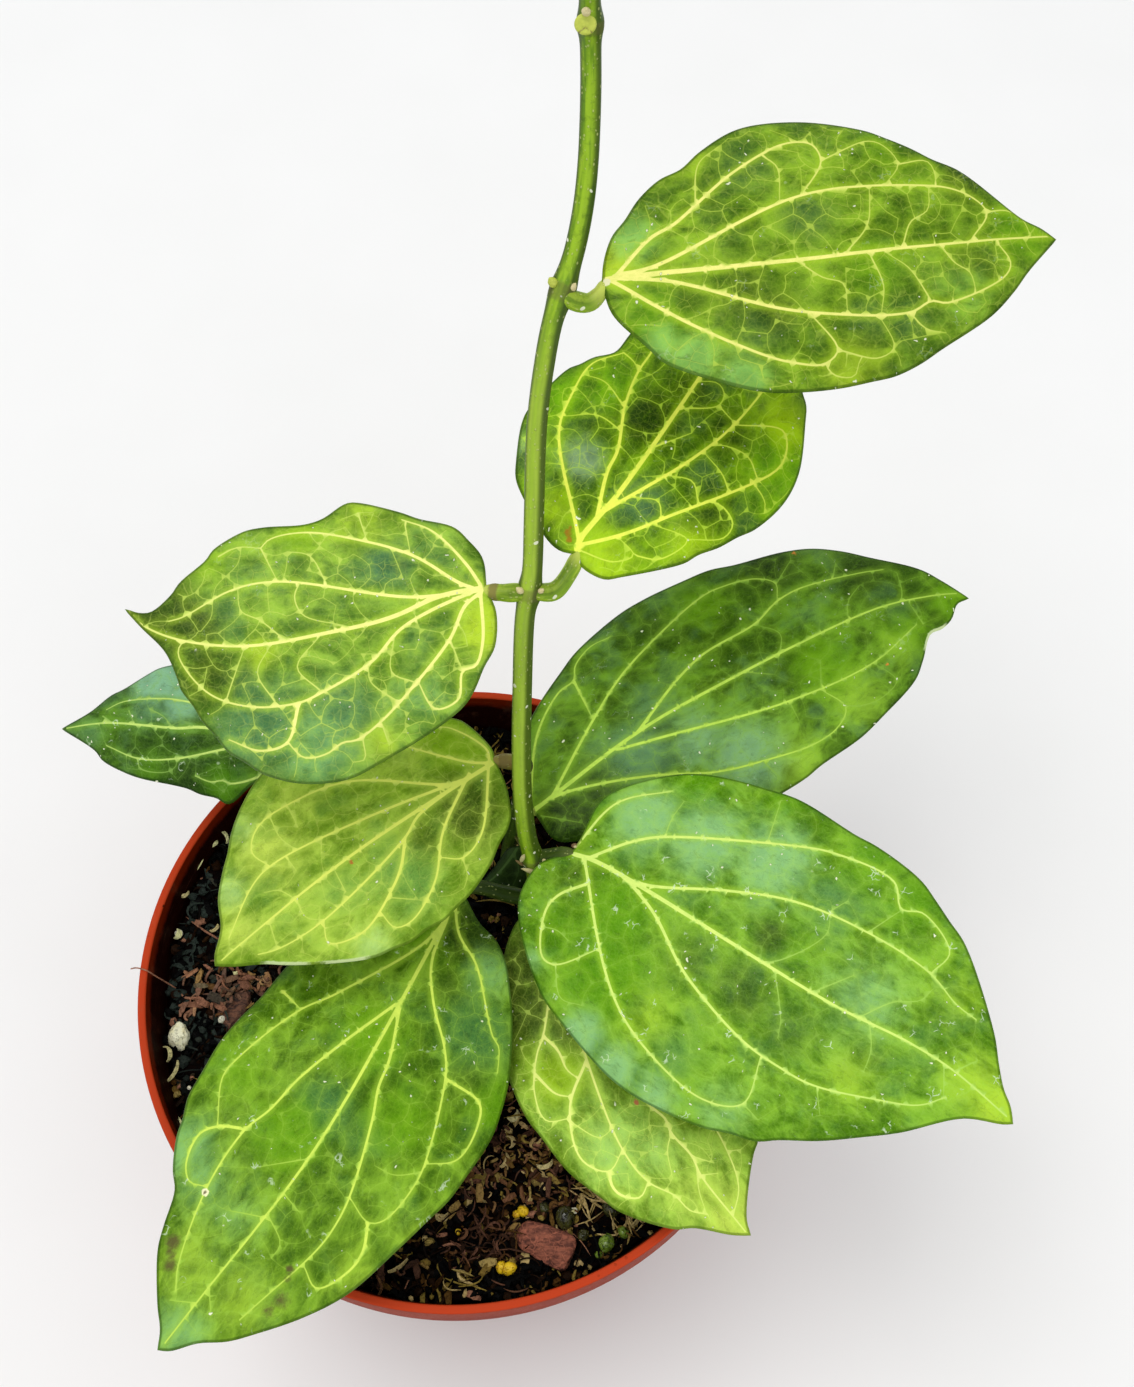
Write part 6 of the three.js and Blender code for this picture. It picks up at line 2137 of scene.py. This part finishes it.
def scatter_grains(random, pieces):
    """Grains of each kind all over the mix."""
    for spec in GRAIN_KINDS:
        for i in range(spec["count"]):
            radius, angle = GRAIN_REACH * math.sqrt(random.random()), 2 * math.pi * random.random()
            x, y = radius * math.cos(angle), radius * math.sin(angle)
            low, high = spec["size"]
            size = low + (high - low) * random.random() ** 1.5
            corners, faces = make_grain(random, spec["kind"], size)
            lift = random.uniform(-0.2, 1.0) * spec["lift"] + 0.2 * size * (spec["kind"] == "crumb")
            values = grain_values(random, x, y, len(corners))
            lay_grain(random, pieces[spec["kind"]], x, y, corners, faces, lift, **values)


def lay_clusters(random, pieces):
    """The groups of grains that share a look."""
    for cluster in CLUSTERS:
        for i in range(cluster["count"]):
            x, y = cluster["at"] + random.normal(0, cluster["reach"], 2)
            kind = cluster["kinds"][i % len(cluster["kinds"])]
            corners, faces = make_grain(random, kind, random.uniform(*cluster["size"]))
            values = grain_values(random, x, y, len(corners))
            for name in ("grain_tint", "grain_rust"):
                values[name][:] = random.uniform(*cluster[name])
            lay_grain(random, pieces[kind], x, y, corners, faces, random.uniform(*CLUSTER_LIFT), **values)


def lay_lone_shreds(random, piece):
    """The single pale shreds, each tilted on its long edge."""
    for x, y, turn, length, width, pale in LONE_SHREDS:
        corners, faces = shaving(random, length, width)
        corners = turned(corners, (SHRED_TILT, 0, turn))
        values = grain_values(random, x, y, len(corners))
        values["grain_tint"][:] = 1
        values["grain_cool"][:] = 0
        values["grain_pale"][:] = pale
        piece.add(corners + (x, y, mix_height(x, y) + SHRED_LIFT), faces, 0, **values)


def add_root_hair(random, piece):
    """The root hair at the pot's left rim."""
    corners, faces, *rest = tube(ROOT_HAIR, lambda share, line: np.full(len(line), ROOT_HAIR_RADIUS), 8, 0.5)
    x, y, z = ROOT_HAIR[3]
    values = grain_values(random, x, y, len(corners))
    values["grain_rust"][:] = 1
    piece.add(corners, faces, 0, **values)


def make_grains():
    """The grains on the mix, each kind its own piece."""
    random = np.random.default_rng(GRAIN_SEED)
    finish = grain_finish()
    pieces = {spec["kind"]: Piece() for spec in GRAIN_KINDS}
    scatter_grains(random, pieces)
    lay_clusters(random, pieces)
    lay_lone_shreds(random, pieces["shaving"])
    add_root_hair(random, pieces["fibre"])
    for kind, piece in pieces.items():
        made = piece.make("mix_" + kind + "s", [finish], smooth=kind in ("curl", "fibre"))
        place_piece(made, "potting_mix")


def make_mix():
    """The bed that the grains lie on, down to the pot's floor."""
    level = POT_HEIGHT - MIX_DEPTH_BELOW_RIM
    top_radius = pot_inner_radius(level - 3) - MIX_CLEARANCE
    flat = [(0, 0)]
    for i in range(1, BED_RINGS + 1):
        flat.extend(ring(top_radius * i / BED_RINGS, BED_STEPS))
    flat = np.array(flat)
    spots = np.column_stack([flat, np.zeros(len(flat))])
    height = mix_height(flat[:, 0], flat[:, 1])
    height += 0.55 * rough(spots, 3.1, 2) + 0.3 * rough(spots, 1.5, 5)
    corners = [*map(tuple, np.column_stack([flat, height]))]
    for z in (STEP_HEIGHT - 2, FLOOR_THICKNESS + MIX_CLEARANCE):
        corners.extend((x, y, z) for x, y in ring(pot_inner_radius(z) - MIX_CLEARANCE, BED_STEPS))
    rows = [list(range(start, start + BED_STEPS)) for start in range(1, len(corners), BED_STEPS)]
    faces = [(0, rows[0][j], rows[0][(j + 1) % BED_STEPS]) for j in range(BED_STEPS)]
    faces += bands(rows, first=0)
    faces.append(tuple(rows[-1][::-1]))
    piece = Piece()
    piece.add(corners, faces)
    return place_piece(piece.make("mix_bed", [mix_finish()]), "potting_mix", "potting_mix")


# Bark, perlite and beads
CHIPS = {
    "bark_chip": {
        "outline": [
            (-6.6, 0.4), (-6.1, -1.6), (-4.6, -2.9), (-1, -3.5), (3, -3.9), (5.4, -3.9), (6.2, -3.1),
            (6.4, 0), (5.9, 2.9), (5, 3.6), (0.5, 3.7), (-3.6, 3.2), (-5.8, 2.2),
        ],
        "thickness": 3.4, "at": (18.4, -54.1), "turn": (0.16, -0.14, -0.43), "sink": 1.1,
        "light": (176, 104, 80), "dark": (92, 46, 34),
    },
    "bark_flake": {
        "outline": [(-6.5, -2.1), (-1.5, -3.4), (4, -2.2), (6.8, 0.6), (2.6, 2.7), (-3.4, 3.1)],
        "thickness": 2.6, "at": (-51, -2), "turn": (-0.12, 0.2, 1.2), "sink": 0.8,
        "light": (128, 86, 66), "dark": (50, 30, 24),
    },
}
# The layers of a chip's upper half: the share of its outline, and the share of its half thickness
CHIP_LAYERS = [(0, 1), (0.3, 1), (0.6, 0.98), (0.82, 0.9), (0.94, 0.7), (1, 0.3)]
CHIP_CREASE = 35
CHIP_SEED = 30


def bark_finish(name, light, dark):
    """Bark in thin layers, with pits and swirls."""
    look = Finish(name, Roughness=0.85)
    place = look.place()
    layers = look.noise(look.place((0.5, 1.6, 2.2)), 1.9, detail=5, rough=0.7)
    pits = look.cells(look.shaken(place, 2, 1.5), 1.5)
    color = look.mix(look.ramp(layers, 0.36, 0.66), shade(*dark), shade(*light))
    swirls = look.ramp(look.cells(look.shaken(place, 2.5, 3), 2.8, "DISTANCE_TO_EDGE"), 0.07, 0.02)
    color = look.cover(color, toned(light, 1.2), swirls, 0.4)
    color = look.cover(color, toned(dark, 0.6), look.ramp(pits, 0.3, 0.08), 0.5)
    height = look.plus(look.plus(layers, look.times(swirls, 0.3)), look.times(pits, 0.5))
    return look.finish(color, look.ramp(layers, 0.3, 0.7, 0.7, 0.92), height, depth=0.5)


def make_chip(node, spec, seed):
    """A bark chip: its outline in rounded layers, broken up by ridges and pits."""
    knots = [*spec["outline"], spec["outline"][0]]
    loop = smooth_line(knots, 0.42)[:-1]
    count = len(loop)
    half = spec["thickness"] / 2
    corners, rows = [], []
    for share, height in [*CHIP_LAYERS, *((share, -height) for share, height in CHIP_LAYERS[::-1])]:
        if share == 0:
            rows.append([len(corners)] * count)
            corners.append((0, 0, height * half))
            continue
        rows.append(list(range(len(corners), len(corners) + count)))
        corners.extend((x * share, y * share, height * half) for x, y in loop)
    corners = np.array(corners)
    corners[:, 2] += 0.34 * rough(corners * (0.5, 1.5, 1), 2.2, seed) + 0.16 * rough(corners, 0.8, seed + 1)
    corners[:, :2] *= (1 + 0.05 * rough(corners, 1.6, seed + 2))[:, None]
    x, y = spec["at"]
    z = mix_height(x, y) + half - spec["sink"]
    piece = Piece()
    piece.add(turned(corners, spec["turn"]) + (x, y, z), bands(rows, first=0))
    made = piece.make(node + "_bark", [bark_finish(node + "_skin", spec["light"], spec["dark"])])
    smooth_below(made, CHIP_CREASE)
    return place_piece(made, "bark", node)


def stone_finish(name, light, dark, roughness=0.9, lit=1.0):
    """Perlite, grains and beads: stained, with small pores."""
    look = Finish(name, Roughness=roughness)
    place = look.place()
    pores = look.ramp(look.cells(place, 0.6), 0.45, 0.15)
    stain = look.noise(place, 1.4, detail=4)
    color = look.mix(look.ramp(stain, 0.4, 0.75), shade(*light, lit), shade(*dark, lit))
    color = look.cover(color, toned(dark, 0.6), pores, 0.25)
    return look.finish(color, roughness, look.plus(look.times(pores, -0.7), stain), depth=0.3)


PERLITE = {"at": (-62, -10.4), "size": (2.6, 3.3, 2.4), "turn": (0.3, 0.5, 0.2), "sink": 0.8}
# The share of the CAD lump that the grain fills, because its bumps stand out further
PERLITE_SHARE = 0.9
PERLITE_CRUMBS = [
    (-64.2, 13.0, 1.0), (-53.2, -6.4, 0.95), (-50.6, -9.5, 0.5), (-61.7, -30.2, 0.8), (-58.6, -22.0, 0.5),
    (-48.0, 12.5, 0.5), (44.0, 30.5, 1.0), (30.5, 52.0, 0.8), (24.5, -47.6, 0.7), (40.6, -46.0, 0.5),
]
YELLOW_GRAINS = [
    (10.9, -59.5, 1.7), (9.4, -59.1, 1.4), (13.7, -47.4, 1.3), (12.3, -47.9, 0.9), (0.2, -51.9, 0.7),
    (40.5, 41.2, 0.9),
]
GREEN_BEADS = [(31.3, -54.3, 2.1), (34.8, -51.9, 1.4), (29.6, -56.4, 0.9)]
DARK_BEADS = [(22.6, -49.1, 2.5), (32.2, -47.2, 2.0), (26.4, -52.6, 1.4), (18.2, -46.8, 1.3)]


def lump(at, size, turn, seed, depth):
    """A lumpy stone's corners and faces."""
    corners, faces = ball(18, 26)
    swell = depth * rough(corners, 0.75, seed) + 0.45 * depth * rough(corners, 0.25, seed + 1)
    return turned(corners * (1 + swell)[:, None] * size, turn) + at, faces


def make_perlite():
    """The largest white grain, which has its own CAD node."""
    x, y = PERLITE["at"]
    z = mix_height(x, y) + PERLITE["size"][2] - PERLITE["sink"]
    size = PERLITE_SHARE * np.array(PERLITE["size"])
    piece = Piece()
    piece.add(*lump((x, y, z - 0.2), size, PERLITE["turn"], 4, depth=0.34))
    finish = stone_finish("perlite_skin", (248, 245, 214), (232, 224, 176), lit=0.85)
    return place_piece(piece.make("perlite_grain", [finish]), "perlite", "perlite_lump")


def make_small_stones():
    """Perlite crumbs, yellow grains and green and dark beads that lie on the mix."""
    piece = Piece()
    for kind, group in enumerate((PERLITE_CRUMBS, YELLOW_GRAINS, GREEN_BEADS, DARK_BEADS)):
        for number, (x, y, size) in enumerate(group):
            seed = 10 * kind + number
            sizes = size * np.array([1, 0.8 + 0.04 * number, 0.75])
            corners, faces = ball(9, 12)
            swell = 1 + 0.18 * rough(corners, 0.7, seed)
            corners = turned(corners * swell[:, None] * sizes, (0.3, 0.2, seed))
            piece.add(corners + (x, y, mix_height(x, y) + 0.55 + 0.5 * size), faces, kind)
    finishes = [
        stone_finish("perlite_crumb", (250, 246, 222), (214, 204, 166)),
        stone_finish("yellow_grain", (250, 208, 30), (206, 150, 20), 0.5),
        stone_finish("green_bead", (128, 156, 56), (56, 80, 22), 0.15),
        stone_finish("dark_bead", (70, 70, 36), (20, 20, 10), 0.12),
    ]
    return place_piece(piece.make("loose_grains", finishes), "perlite")


# Stage. Places and sizes are in metres.
FLOOR_SIZE = 6
PAPER_DARK = (0.84, 0.84, 0.835, 1)
PAPER_LIGHT = (0.88, 0.88, 0.88, 1)
SKY_COLOR = (0.98, 0.99, 1.0, 1.0)
SKY_STRENGTH = 0.84
LIGHT_TARGET = (0, 0, 0.12)
LIGHT_SIZE = 0.7
LIGHTS = {
    "key": {"place": (-0.25, 0.0, 1.45), "power": 6.5, "color": (1.0, 0.985, 0.95)},
    "fill": {"place": (0.5, -0.6, 1.0), "power": 1.2, "color": (0.95, 0.98, 1.0)},
}


def make_stage():
    """The pale paper that the pot stands on."""
    bpy.ops.mesh.primitive_plane_add(size=FLOOR_SIZE)
    floor = bpy.context.object
    floor.name = "floor"
    look = Finish("floor_paper", Roughness=0.9)
    cloud = look.noise(look.place(), 60, detail=2)
    floor.data.materials.append(look.finish(look.mix(cloud, PAPER_DARK, PAPER_LIGHT), 0.9))


def add_light(name, place, power, color):
    """A round studio light, turned towards the plant."""
    data = bpy.data.lights.new(name, "AREA")
    data.shape = "DISK"
    data.size = LIGHT_SIZE
    data.energy = power
    data.color = color
    light = bpy.data.objects.new(name, data)
    light.location = place
    light.rotation_euler = (Vector(LIGHT_TARGET) - Vector(place)).to_track_quat("-Z", "Y").to_euler()
    bpy.context.scene.collection.objects.link(light)


def make_lights():
    """An even white sky, a key light and a weaker fill."""
    world = bpy.data.worlds.new("studio")
    world.use_nodes = True
    background = world.node_tree.nodes["Background"]
    background.inputs["Color"].default_value = SKY_COLOR
    background.inputs["Strength"].default_value = SKY_STRENGTH
    bpy.context.scene.world = world
    for name, spec in LIGHTS.items():
        add_light(name, **spec)


def make_camera():
    """The camera that the outlines were read through."""
    data = bpy.data.cameras.new("camera")
    data.sensor_width = SENSOR
    data.lens = FOCAL_PIXELS * SENSOR / PHOTO_HEIGHT
    data.clip_start = 0.01
    camera = bpy.data.objects.new("camera", data)
    camera.location = CAMERA_PLACE
    camera.rotation_euler = (CAMERA_TILT, 0, 0)
    bpy.context.scene.collection.objects.link(camera)
    bpy.context.scene.camera = camera


make_camera()
make_lights()
make_stage()
make_pot()
make_mix()
make_grains()
for number, (node, spec) in enumerate(CHIPS.items()):
    make_chip(node, spec, CHIP_SEED + number)
make_perlite()
make_small_stones()
make_stems()
stalk_skin = stalk_finish("stalk_skin", (172, 202, 58), (122, 158, 38), (128, 112, 66), side_shade=0.4)
for number, leaf in enumerate(LEAVES):
    make_leaf({**leaf, **LEAF_LOOKS[leaf["name"]]}, number + 1, stalk_skin)
bpy.context.scene.view_settings.view_transform = "Standard"
